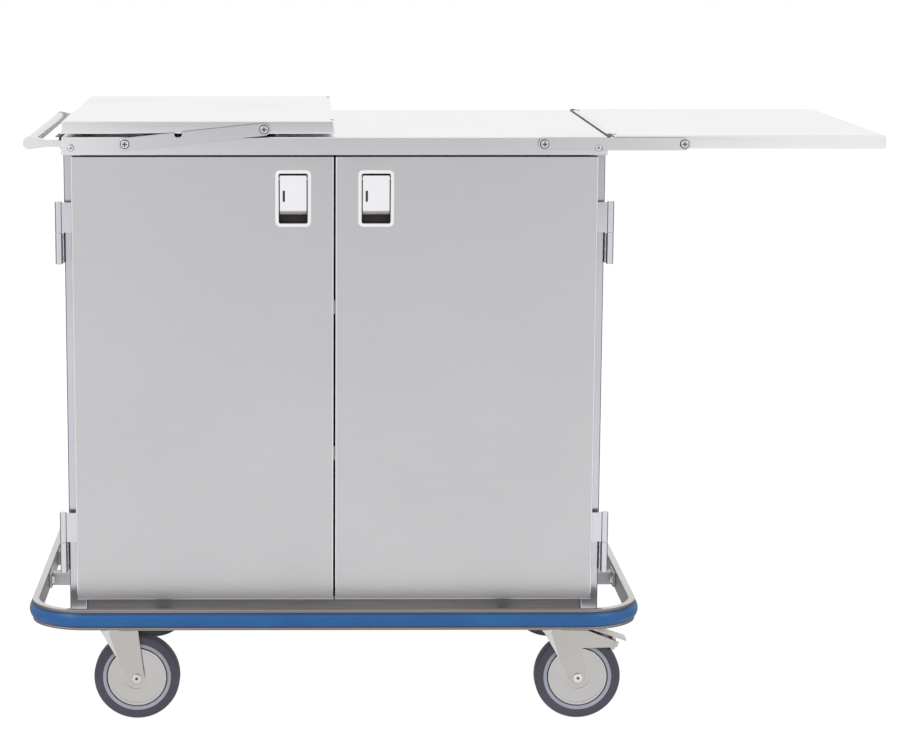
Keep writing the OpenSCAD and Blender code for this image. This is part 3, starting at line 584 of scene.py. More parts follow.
    def spread(self, test: CornerTest, centre: Point, factor: float) -> "Piece":
        """Scales the corners that pass the test about a point, in the level plane."""
        with self.editing("VERT", test):
            bpy.ops.transform.resize(value=(factor, factor, 1.0),
                                     center_override=Vector(centre) * MM)
        return self

    def bridge(self, test: EdgeTest) -> "Piece":
        """Joins the open loops that pass the test with a wall."""
        with self.editing("EDGE", test):
            bpy.ops.mesh.bridge_edge_loops()
        return self

    def tidy(self) -> "Piece":
        """Merges doubled corners and turns every face outwards."""
        with self.editing("VERT"):
            bpy.ops.mesh.select_all(action="SELECT")
            bpy.ops.mesh.remove_doubles(threshold=0.01 * MM)
            bpy.ops.mesh.normals_make_consistent(inside=False)
        return self

    # Modifiers, applied at once

    def _apply(self, kind: str, **settings) -> "Piece":
        """Adds one modifier with its settings and applies it."""
        select_only(self.obj)
        modifier = self.obj.modifiers.new(kind.title(), kind)
        for key, value in settings.items():
            setattr(modifier, key, value)
        bpy.ops.object.modifier_apply(modifier=modifier.name)
        return self

    def thicken(self, wall: float) -> "Piece":
        """Gives an open sheet its wall, inwards."""
        return self._apply("SOLIDIFY", thickness=wall * MM, offset=-1.0, use_even_offset=True)

    def round_edges(self, width: float, segments: int = 2, angle: float = 35.0) -> "Piece":
        """Rounds every edge that folds by more than an angle."""
        return self._apply("BEVEL", width=width * MM, segments=segments, limit_method="ANGLE",
                           angle_limit=math.radians(angle), harden_normals=False)

    def subtract(self, tool: "Piece") -> "Piece":
        """Cuts the tool's shape out of this piece, and scraps the tool."""
        self._apply("BOOLEAN", object=tool.obj, operation="DIFFERENCE", solver="EXACT")
        bpy.data.objects.remove(tool.obj)
        return self

    # Copies and assembly

    def copy(self, name: str, turn: Matrix) -> "Piece":
        """A copy with its own mesh, placed by a matrix in millimetres.

        Args:
            name: the copy's name.
            turn: where it goes.

        Returns:
            The copy.
        """
        obj = bpy.data.objects.new(name, self.obj.data.copy())
        obj.data.name = name
        bpy.context.scene.collection.objects.link(obj)
        scale = Matrix.Scale(MM, 4)
        obj.data.transform(scale @ turn @ scale.inverted())
        if turn.determinant() < 0:
            obj.data.flip_normals()
        return Piece(obj)

    def shifted(self, name: str, move: Point) -> "Piece":
        """A copy moved along."""
        return self.copy(name, Matrix.Translation(move))

    def mirrored(self, name: str, axis: Point) -> "Piece":
        """A copy mirrored through the cart's middle across one axis."""
        return self.copy(name, Matrix.Scale(-1, 4, axis))

    def doubled(self, *axes: Point) -> "Piece":
        """Joins the piece's mirrored copy to it, across each axis in turn.

        Args:
            *axes: the mirrors' directions.

        Returns:
            The piece.
        """
        for axis in axes:
            self.join(self.mirrored("doubled", axis))
        return self

    def join(self, *others: "Piece") -> "Piece":
        """Makes other pieces part of this one, each keeping its own shape and finish."""
        select_only(self.obj, *[other.obj for other in others])
        bpy.ops.object.join()
        return self

    # Dressing

    def dress(self, finish: Finish, test: FaceTest | None = None) -> "Piece":
        """Gives the piece, or the faces that pass a test, a finish.

        Args:
            finish: which finish.
            test: picks the faces; None means all of them.

        Returns:
            The piece.
        """
        material = wardrobe.get(finish)
        slots = self.obj.data.materials
        if slots.find(material.name) < 0:
            slots.append(material)
        index = slots.find(material.name)
        for face in self.obj.data.polygons:
            if test is None or test(face.center / MM, face.normal):
                face.material_index = index
        self.obj["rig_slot"] = self.obj.get("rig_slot", finish.slot)
        return self

    def fit(self, body: str, *nodes: str, smooth: float = 32.0) -> "Piece":
        """Finishes the piece: smooth shading, the body that it rides on and what it stands for.

        Args:
            body: the CAD body.
            *nodes: the CAD nodes that it replaces.
            smooth: faces that fold less than this are shaded as one.

        Returns:
            The piece.
        """
        select_only(self.obj)
        bpy.ops.object.shade_smooth_by_angle(angle=math.radians(smooth))
        self._apply("WEIGHTED_NORMAL", keep_sharp=True, weight=80)
        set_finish(self.obj, self.obj["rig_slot"])
        if nodes:
            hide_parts(*nodes)
        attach(self.obj, body)
        log.info("%s: %d faces, rides on %s", self.obj.name, len(self.obj.data.polygons), body)
        return self


def flank(middle: Vector, normal: Vector) -> bool:
    """Whether a face is on the left or right flank of an upright barrel."""
    return 0.78 < abs(normal.x) < 0.999


def dress_node(node: str, finish: Finish) -> None:
    """Gives a CAD node that stays in view its finish.

    Args:
        node: the node's name.
        finish: which finish.
    """
    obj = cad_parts[node]
    if not obj.material_slots:
        obj.data.materials.append(None)
    for slot in obj.material_slots:
        slot.material = wardrobe.get(finish)
    log.info("%s: CAD node in %s", node, finish.name)


# Sub-assemblies


@dataclass
class Screw:
    """A pan head with a cross recess over a dark washer as painted shade, and its shank, collar and nut.
    """

    radius: float = 6.6
    height: float = 4.0
    dome: float = 1.2
    slot_width: float = 1.8
    slot_depth: float = 1.8
    slot_share: float = 0.62
    washer: float = 8.0
    washer_thick: float = 1.3
    shank: float = 4.0
    reach: float = 15.6
    collar: float = 7.0
    collar_y: Span = (-327.0, -327.5)
    nut: float = 6.0
    nut_y: Span = (-325.5, -320.5)

    def build(self, name: str, face: Point) -> Piece:
        """Models the screw, seen from the front of the cart.

        Args:
            name: the piece's name.
            face: the middle of the head's face.

        Returns:
            The screw.
        """
        x, y, z = face
        head = Piece.rod(name, (x, y + self.height, z), (x, y, z), self.radius, 40)
        head.bevel(lambda m, r, fold: fold > 1 and m.y < y + 1, self.dome, 4)
        long, half = self.radius * self.slot_share, self.slot_width / 2
        for wide, high in ((long, half), (half, long)):
            head.subtract(Piece.box("recess", (x - wide, y - 1, z - high),
                                    (x + wide, y + self.slot_depth, z + high)))
        shank = Piece.rod("shank", (x, y + self.reach, z), (x, y + self.height - 0.2, z),
                          self.shank, 32)
        # The recess floor and the washer are painted shade round the head.
        head.dress(TURNED_STEEL).dress(SCREW_SHADE, lambda m, n: m.y > y + self.slot_depth - 0.1
                                       and n.y < -0.9)
        under = y + self.height - self.washer_thick - 0.1
        washer = Piece.rod("washer", (x, under + self.washer_thick, z), (x, under, z), self.washer, 40)
        head.join(shank.dress(TURNED_STEEL), washer.bevel(sharp, 0.3, 2).dress(SCREW_SHADE))
        collar, nut = (Piece.rod(part, (x, start, z), (x, end, z), radius, sides)
                       for part, (start, end), radius, sides in (
                           ("collar", self.collar_y, self.collar, 40),
                           ("nut", self.nut_y, self.nut, 6)))
        return head.join(collar.dress(TURNED_STEEL), nut.dress(TURNED_STEEL))


@dataclass(frozen=True)
class Hinge:
    """What the two halves of every hinge share: its sizes and its knuckle."""

    x: float = 473.5
    y: float = -320.0
    tops: Span = (929.0, 384.5)
    length: float = 108.0
    knuckle: float = 53.85
    radius: float = 6.0

    def barrel(self, name: str, x: float, base: float) -> Piece:
        """One knuckle, standing on its base."""
        barrel = Piece.rod(name, (x, self.y, base), (x, self.y, base + self.knuckle), self.radius, 40)
        return barrel.bevel(sharp, 0.9, 3)


HINGE = Hinge()


@dataclass
class TopDeck:
    """The deck sheet with its skirt, the keeper angles and the pins on its edges."""

    sheet: float = 1.5
    bend: float = 2.5
    pivot: Point = (357.693, -336.1, 1028.0)
    stop: Point = (450.0, -332.8, 1021.4)
    stop_radius: float = 5.2
    stop_dish: Span = (2.2, 0.6)
    tail_y: Span = (-325.5, -323.5)
    skirt_y: float = -327.0
    slot_y: float = 283.0

    def build(self) -> None:
        """Makes all of it."""
        self.pan()
        self.keepers()
        self.pins()

    def pan(self) -> None:
        """The folded sheet: its bends rounded, then given its gauge."""
        low, high = extent("deck")
        pan = Piece.box("deck_sheet", low, high).delete(facing(DOWN))
        pan.bevel(sharp, self.bend, 4).thicken(self.sheet).round_edges(0.3, 1, 60)
        pan.dress(DECK_SHEET).fit("cart", "deck")

    def keepers(self) -> None:
        """The angles under which the leaves' inner edges lie."""
        angles = Piece.from_node("keeper_angle", "keeper_angles").round_edges(0.5)
        for end in (-self.slot_y, self.slot_y):
            angles.cut(anywhere, (0, end, 0), BACK)
        # Painted shade on the keepers' upright faces and ends, for the dark line of the gap.
        angles.dress(BRIGHT_BAR_AND_HIGHLIGHT).dress(
            BOLT_GAP_SHADE, lambda m, n: abs(n.z) < 0.9 or abs(m.y) > self.slot_y)
        angles.fit("cart", "keeper_angles")

    def pins(self) -> None:
        """The arms' pivot screws and the stop pins, front and back, left and right."""
        screw = Screw().build("deck_pins", self.pivot)
        x, y, z = self.stop
        pin = Piece.rod("stop", (x, self.skirt_y, z), self.stop, self.stop_radius, 40)
        pin.bevel(lambda m, r, fold: fold > 1 and m.y < y + 1, 1.2, 3)
        pin.inset(facing(FRONT, 0.99), self.stop_dish[0]).push(None, -self.stop_dish[1])
        start, end = self.tail_y
        tail = Piece.rod("stop_tail", (x, start, z), (x, end, z), self.stop_radius, 24)
        tail.bevel(sharp, 0.5, 2)
        # A dark ring round each stop pin: painted shade.
        ring = Piece.rod("stop_shade_ring", (x, y + 0.9, z), (x, y + 0.4, z), self.stop_radius + 0.4, 40)
        screw.join(tail.dress(TURNED_STEEL), pin.dress(LINK_BAR), ring.dress(CHASSIS_STEEL_SHADED))
        screw.doubled((1, 0, 0), (0, 1, 0)).fit("cart", "deck_pivots")


@dataclass
class TopLeaf:
    """A leaf of the deck on its link arms: folded over at the left, swung out at the right."""

    side: Side
    sheet: float = 1.5
    flange: float = 12.0
    lip: float = 3.0
    bend: float = 2.0
    relief: Span = (285.0, 310.0)
    relief_deep: float = 6.0

    def build(self) -> None:
        """Makes the pan, its stiffener, its pivots and its arms."""
        self.pan()
        self.stiffener()
        self.pivots()
        self.arms()

    def pan(self) -> None:
        """The leaf's folded sheet, with flanges turned in under three of its edges."""
        word = self.side.word
        low, high = extent(f"{word}_leaf")
        near_x = low.x if self.side is Side.RIGHT else high.x
        inward = Vector((1 if self.side is Side.RIGHT else -1, 0, 0))
        pan = Piece.box(f"{word}_leaf_sheet", low, high)
        pan.inset(facing(DOWN), self.flange).delete(None)
        pan.delete(lambda m, n: n.z < -0.9 and abs(m.x - near_x) < self.flange)
        pan.cut(facing(-inward), (near_x, 0, high.z - self.lip), (0, 0, 1))
        pan.delete(lambda m, n: n.dot(inward) < -0.9 and m.z < high.z - self.lip)
        pan.bevel(sharp, self.bend, 3).thicken(self.sheet)
        for start, end in ((-self.relief[1], -self.relief[0]), self.relief):
            pan.subtract(Piece.box("relief", (near_x - self.relief_deep, start, low.z - 5),
                                   (near_x + self.relief_deep, end, high.z + 5)))
        pan.round_edges(0.3, 1, 60).dress(DECK_SHEET).fit(f"{word}_top_leaf", f"{word}_leaf")

    def stiffener(self) -> None:
        """The two box channels under the leaf, on which it lies when it is folded."""
        word = self.side.word
        channel = Piece.from_node(f"{word}_leaf_channel", f"{word}_stiffener").round_edges(0.6)
        channel.dress(MILL_STEEL).fit(f"{word}_top_leaf", f"{word}_stiffener")

    def pivots(self) -> None:
        """The screws on which the leaf hangs in its arms, front and back."""
        word = self.side.word
        low, high = extent(f"{word}_leaf_pivots")
        place = ((low.x + high.x) / 2, low.y, (low.z + high.z) / 2)
        screw = Screw().build(f"{word}_leaf_screws", place).doubled((0, 1, 0))
        screw.fit(f"{word}_top_leaf", f"{word}_leaf_pivots")

    def arms(self) -> None:
        """The two flat links, with their edges eased."""
        word = self.side.word
        arms = Piece.from_node(f"{word}_link_arms", f"{word}_arms").round_edges(0.7, 3)
        # Painted shade on the arms' edges.
        arms.dress(LINK_BAR).dress(OUTLINE_SHADE, lambda m, n: abs(n.y) < 0.8)
        arms.fit(f"{word}_links", f"{word}_arms")


@dataclass
class Cabinet:
    """The welded frame and the sheets, rails and shelves in it."""

    tube: float = 30.0
    tube_corner: float = 2.5
    tube_wall: float = 2.0

    def build(self) -> None:
        """Makes all of it."""
        self.posts()
        for node, finish in (("left_panel", SIDE_SHEET), ("right_panel", SIDE_SHEET),
                             ("back_panel", DOOR_SHEET), ("floor_panel", SIDE_SHEET),
                             ("pilasters", MILL_STEEL)):
            dress_node(node, finish)
        # The chassis and the strikes are darkened with painted shade.
        for node, finish, ease in (("top_rails", MILL_STEEL, 1.5), ("chassis", CHASSIS_STEEL_SHADED, 1.5),
                                   ("shelf_rails", MILL_STEEL, 0.6), ("shelves", DECK_SHEET, 0.5),
                                   ("strikes", CHASSIS_STEEL_SHADED, 0.3)):
            Piece.from_node(f"{node}_eased", node).round_edges(ease).dress(finish).fit("cart", node)

    def posts(self) -> None:
        """Four square tubes with the round corners of drawn tube."""
        low, high = extent("posts")
        post = Piece.box("corner_posts", (high.x - self.tube, low.y, low.z),
                         (high.x, low.y + self.tube, high.z)).delete(level_face)
        post.bevel(folded, self.tube_corner, 4).thicken(self.tube_wall)
        post.join(post.shifted("behind", (0, high.y - low.y - self.tube, 0))).doubled((1, 0, 0))
        # Painted shade on the posts' outer corners.
        post.dress(POST_TUBE).dress(
            OUTLINE_SHADE, lambda m, n: 0.35 < abs(n.x) < 0.97 and abs(m.x) > high.x - 3)
        post.fit("cart", "posts")


@dataclass
class PushHandle:
    """The round bar across the left end, and the tapered elbows that carry it."""

    radius: float = 9.5
    ease: float = 1.3

    def build(self) -> None:
        """Makes the bar and its two elbows."""
        low, high = extent("handle_tube")
        x, z = (low.x + high.x) / 2, (low.z + high.z) / 2
        bar = Piece.rod("push_bar", (x, low.y, z), (x, high.y, z), self.radius, 64)
        bar.bevel(sharp, 0.6, 2).dress(HANDLE_TUBE).fit("cart", "handle_tube")
        arms = Piece.from_node("handle_elbow", "handle_brackets").round_edges(self.ease, 3, 30)
        arms.dress(BRIGHT_BAR_AND_HIGHLIGHT).fit("cart", "handle_brackets", smooth=40)


@dataclass
class Bumper:
    """The ring round the cart's foot: a lipped channel, its vinyl strip and its brackets."""

    deep: float = 11.5
    wall: float = 2.0
    lip: float = 4.25
    corner: float = 96.5
    bulge: float = 5.5
    steps: int = 24
    pad: float = 5.0
    bolt_ys: Span = (-106.5, -67.5)
    bolt_z: float = 208.5
    bolt_head: Span = (6.5, 5.3)
    bolt_seat: Span = (8.5, 1.4)
    strip_thick: float = 8.0

    def ring(self, name: str, shrink: float, low_z: float, high_z: float) -> Piece:
        """An open band that follows the bumper, with round corners.

        Args:
            name: its name.
            shrink: how far it lies inside the channel's tips.
            low_z: its lower edge.
            high_z: its upper edge.

        Returns:
            The band, as a single sheet.
        """
        low, high = extent("bumper_channel")
        band = Piece.box(name, (low.x + shrink, low.y + shrink, low_z),
                         (high.x - shrink, high.y - shrink, high_z))
        band.delete(level_face)
        return band.bevel(folded, self.corner - shrink, self.steps)

    def build(self) -> None:
        """Makes the channel, the strip and the brackets."""
        low, high = extent("bumper_channel")
        channel = self.ring("bumper_rail", 0, low.z, high.z).thicken(self.deep)
        outer = lambda m, n: abs(n.z) < 0.1 and n.dot(Vector((m.x, m.y, 0))) > 0
        channel.inset(outer, self.lip).push(None, self.wall - self.deep)
        # Painted shade and reflection on the channel's lips.
        channel.round_edges(0.5, 2, 50).dress(CHANNEL_STEEL).dress(LIP_SHADE_STEEL, outer)
        channel.dress(LIP_SHADE_STEEL, lambda m, n: n.z > 0.5 and abs(m.y) > high.y - self.deep)
        channel.fit("cart", "bumper_channel")
        self.strip(low.z + self.lip, high.z - self.lip)
        brackets = Piece.from_node("bumper_bracket", "bumper_brackets").round_edges(1.0)
        brackets.dress(MILL_STEEL).join(self.bolts(high.x - self.deep))
        brackets.fit("cart", "bumper_brackets")

    def bolts(self, face_x: float) -> Piece:
        """The hex heads that draw the side brackets' pads to the channel.

        Args:
            face_x: the channel's inner face at the right.

        Returns:
            The bolts, four on each side.
        """
        pad_x, (near, far), z = face_x - self.pad, self.bolt_ys, self.bolt_z
        (radius, tall), (seat_radius, seat_tall) = self.bolt_head, self.bolt_seat
        heads = Piece.rod("bolt", (pad_x, near, z), (pad_x - tall, near, z), radius, 6)
        heads.bevel(sharp, 0.8, 2)
        seat = Piece.rod("seat", (pad_x, near, z), (pad_x - seat_tall, near, z), seat_radius, 32)
        heads.join(seat.bevel(sharp, 0.3, 1))
        heads.join(heads.shifted("beside", (0, far - near, 0))).doubled((0, 1, 0), (1, 0, 0))
        return heads.dress(TURNED_STEEL)

    def strip(self, low_z: float, high_z: float) -> None:
        """The blue strip, cut into level bands that swell to a bow.

        Args:
            low_z: its lower edge, at the channel's lip.
            high_z: its upper edge.
        """
        half, mid = (high_z - low_z) / 2 - 0.3, (high_z + low_z) / 2
        bow = (half * half + self.bulge * self.bulge) / (2 * self.bulge)
        strip = self.ring("bumper_strip", 0, mid - half, mid + half)
        low, high = extent("bumper_channel")
        heights = [mid + half * math.sin(math.radians(angle)) for angle in range(-75, 90, 15)]
        for height in heights:
            strip.cut(anywhere, (0, 0, height), (0, 0, 1))
        for height in heights:
            out = math.sqrt(bow * bow - (height - mid) ** 2) - (bow - self.bulge)
            for x, y in product((low.x, high.x), (low.y, high.y)):
                centre = (x - math.copysign(self.corner, x), y - math.copysign(self.corner, y), 0)
                strip.spread(lambda c: abs(c.z - height) < 0.05 and c.x * x > 0 and c.y * y > 0,
                             centre, (self.corner + out) / self.corner)
        strip.thicken(self.strip_thick).dress(BUMPER_VINYL)
        # Painted shade on the strip's upper and lower edges.
        strip.dress(VINYL_EDGE_SHADE, lambda m, n: abs(n.z) > 0.5).fit("cart", "bumper_insert", smooth=50)


@dataclass
class Door:
    """A door: its pan and liner, its hinge halves, and the latch let into it."""

    side: Side
    sheet: float = 1.5
    bend: float = 1.8
    latch_x: float = 71.0
    latch_z: float = 934.5
    bezel: Span = (61.5, 97.5)
    opening: Span = (49.7, 85.6)
    bezel_corner: float = 9.0
    paddle_wide: float = 46.1
    slot: Span = (4.0, 19.5)
    slot_off: float = 16.0
    slot_up: float = 4.0
    rebate: float = 1.4
    frame_y: Span = (-327.6, -326.0)
    cup_deep: float = 17.7
    well_deep: float = 18.1
    well_y: Span = (-326.4, -309.4)
    paddle_y: Span = (-327.0, -324.5)
    paddle_z: Span = (913.9, 973.9)
    curl: tuple[Point, Point] = ((0, 2.2, -3.2), (0, 3.8, -3.8))
    pin: Point = (25.4, -322.0, 968.2)
    tail_y: Span = (-325.0, -311.5)
    tail_thick: float = 2.5
    bolt_y: float = -314.0
    tip_z: float = 985.5
    hinge_edge: float = 451.0
    hinge_plate: float = 2.0
    body: str = field(init=False)

    def __post_init__(self) -> None:
        """Names the door's CAD body and puts the latch on its side."""
        self.body = f"{self.side.word}_door_leaf"
        self.latch_x *= self.side.value

    def build(self) -> None:
        """Makes the door and everything on it."""
        self.shell()
        dress_node(f"{self.side.word}_door_liner", DOOR_SHEET)
        self.hinges()
        self.cup()
        self.paddle()
        self.bolt()

    def shell(self) -> None:
        """The outer pan, cut out for the latch."""
        word = self.side.word
        low, high = extent(f"{word}_door")
        pan = Piece.box(f"{word}_door_pan", low, high).delete(facing(BACK))
        pan.bevel(sharp, self.bend, 3)
        wide, tall = (size / 2 + self.rebate for size in self.opening)
        front = facing(FRONT, 0.99)
        for move in (-wide, wide):
            pan.cut(front, (self.latch_x + move, 0, 0), (1, 0, 0))
        for move in (-tall, tall):
            pan.cut(front, (0, 0, self.latch_z + move), (0, 0, 1))
        pan.delete(lambda m, n: n.y < -0.99 and abs(m.x - self.latch_x) < wide
                   and abs(m.z - self.latch_z) < tall)
        pan.thicken(self.sheet).dress(DOOR_SHEET)
        # A painted highlight on the bevelled side edges.
        pan.dress(BRIGHT_BAR_AND_HIGHLIGHT, lambda m, n: -0.97 < n.y < -0.25 and abs(n.x) > 0.2)
        pan.fit(self.body, f"{word}_door")

    def hinges(self) -> None:
        """The upper half of each hinge: a closed barrel and the plate that turns onto the door."""
        word, sign = self.side.word, self.side.value
        x, edge_x = sign * HINGE.x, sign * self.hinge_edge
        halves: list[Piece] = []
        for top in HINGE.tops:
            base = top - HINGE.knuckle
            plate = Piece.box("plate", (min(x, edge_x), HINGE.y - self.hinge_plate, base + 0.5),
                              (max(x, edge_x), HINGE.y, base + 52.5)).bevel(sharp, 0.4, 2)
            halves.append(HINGE.barrel(f"{word}_hinge_uppers", x, base).join(plate))
        # Painted shade on the barrels' flanks.
        halves[0].join(halves[1]).dress(HINGE_STEEL).dress(OUTLINE_SHADE, flank)
        halves[0].fit(self.body, f"{word}_door_hinges")

    def cup(self) -> None:
        """The latch's frame and the cup behind it: one casting, with painted shade in its well."""
        word, x, z = self.side.word, self.latch_x, self.latch_z
        wide, tall = self.bezel[0] / 2, self.bezel[1] / 2
        rim = (self.bezel[0] - self.opening[0]) / 2
        face, back = self.frame_y
        cup = Piece.box(f"{word}_latch_frame", (x - wide, face, z - tall), (x + wide, back, z + tall))
        cup.bevel(fore_and_aft, self.bezel_corner, 8)
        cup.bevel(lambda m, r, fold: m.y < face + 0.1 and fold > 1, 0.8, 3)
        cup.inset(facing(BACK, 0.99), rim - 1.2).extrude(None, (0, self.cup_deep, 0))
        cup.inset(facing(FRONT, 0.99), rim - 0.8).extrude(None, (0, self.well_deep, 0))
        cup.bevel(lambda m, r, fold: m.y < face + 0.1 and fold > 1 and abs(m.x - x) < wide - 4
                  and abs(m.z - z) < tall - 4, 0.5, 2)
        well_wide, well_tall = wide - rim + 0.3, tall - rim + 0.3
        cup.dress(LATCH_ENAMEL)
        # Painted shade in the well.
        cup.dress(LATCH_WELL_SHADE, lambda m, n: self.well_y[0] < m.y < self.well_y[1]
                  and abs(m.x - x) < well_wide and abs(m.z - z) < well_tall)
        cup.fit(self.body, f"{word}_latch_cup")

    def paddle(self) -> None:
        """The pull paddle: a plate with a lip curled in under it and a narrow key slot."""
        word = self.side.word
        x, half = self.latch_x, self.paddle_wide / 2
        (front, back), (bottom, top) = self.paddle_y, self.paddle_z
        plate = Piece.box(f"{word}_paddle_plate", (x - half, front, bottom), (x + half, back, top))
        plate.extrude(facing(DOWN), self.curl[0]).extrude(None, self.curl[1])
        plate.bevel(lambda m, r, fold: fold > 0.3 and m.y < front + 1.5, 0.8, 3)
        key_x, key_z = x - self.slot_off, self.latch_z + self.slot_up
        wide, tall = self.slot[0] / 2, self.slot[1] / 2
        tool = Piece.box("key_slot", (key_x - wide, -340, key_z - tall),
                         (key_x + wide, -310, key_z + tall)).bevel(fore_and_aft, 1.4, 3)
        plate.subtract(tool)
        # Painted shade on the curled lip.
        plate.dress(LATCH_ENAMEL).dress(LATCH_LIP_SHADE, lambda m, n: m.z < bottom - 0.4)
        pin_half, pin_y, pin_z = self.pin
        pin = Piece.rod("pin", (x - pin_half, pin_y, pin_z), (x + pin_half, pin_y, pin_z), 2.0, 24)
        low_z = pin_z - self.tail_thick / 2
        tail = Piece.box("tail", (x - 6, self.tail_y[0], low_z),
                         (x + 6, self.tail_y[1], low_z + self.tail_thick))
        tail.subtract(Piece.box("fork", (x - 2.8, -317.4, 960), (x + 2.8, -300, 980)))
        # A dark plate behind the key slot: painted shade.
        slot_shade = Piece.box("slot_shade", (key_x - 4, -324.4, key_z - 12), (key_x + 4, -323.6, key_z + 12))
        slot_shade.bevel(sharp, 0.2, 1).dress(LATCH_WELL_SHADE)
        pin.join(tail).dress(TURNED_STEEL)
        plate.join(pin, slot_shade)
        plate.fit(f"{word}_latch_paddle", f"{word}_paddle")

    def bolt(self) -> None:
        """The rod that the paddle draws down out of the strike."""
        word = self.side.word
        low, high = extent(f"{word}_latch_bolt")
        x, y = self.latch_x, self.bolt_y
        rod = Piece.rod(f"{word}_bolt_rod", (x, y, low.z), (x, y, high.z - 2), 2.5, 32)
        tip = Piece.rod("tip", (x, y, self.tip_z), (x, y, high.z), 4.0, 32).bevel(sharp, 1.0, 3)
        foot = Piece.rod("foot", (x, y, low.z), (x, y, low.z + 2.5), 3.7, 32).bevel(sharp, 0.4, 2)
        # The bolt is dark as painted shade in the gap over the door.
        rod.join(tip, foot).dress(BOLT_GAP_SHADE).fit(f"{word}_latch_rod", f"{word}_latch_bolt")


@dataclass
class PostHinges:
    """The lower halves of the four hinges, with their pins, on the posts."""

    pin: float = 3.0
    inner_x: float = 465.0
    plate_y: Span = (-316.0, -300.0)
    plate_z: Span = (1.0, 53.0)
    gauge: float = 2.0

    def build(self) -> None:
        """Makes one, and copies it up, down and across."""
        base = HINGE.tops[0] - HINGE.length
        barrel = HINGE.barrel("hinge_lowers", HINGE.x, base)
        pin = Piece.rod("pin", (HINGE.x, HINGE.y, base + 2),
                        (HINGE.x, HINGE.y, base + HINGE.length - 4), self.pin, 24)
        (front, back), (low_z, high_z) = self.plate_y, (base + up for up in self.plate_z)
        corner = (self.inner_x, front, low_z)
        web = Piece.box("web", corner, (HINGE.x, front + self.gauge, high_z))
        plate = Piece.box("plate", corner, (self.inner_x + self.gauge, back, high_z))
        barrel.join(pin, web.bevel(sharp, 0.4, 2), plate.bevel(sharp, 0.4, 2))
        barrel.join(barrel.shifted("below", (0, 0, HINGE.tops[1] - HINGE.tops[0])))
        barrel.doubled((1, 0, 0))
        # Painted shade on the barrels' flanks.
        barrel.dress(HINGE_STEEL).dress(OUTLINE_SHADE, flank).fit("cart", "post_hinges")


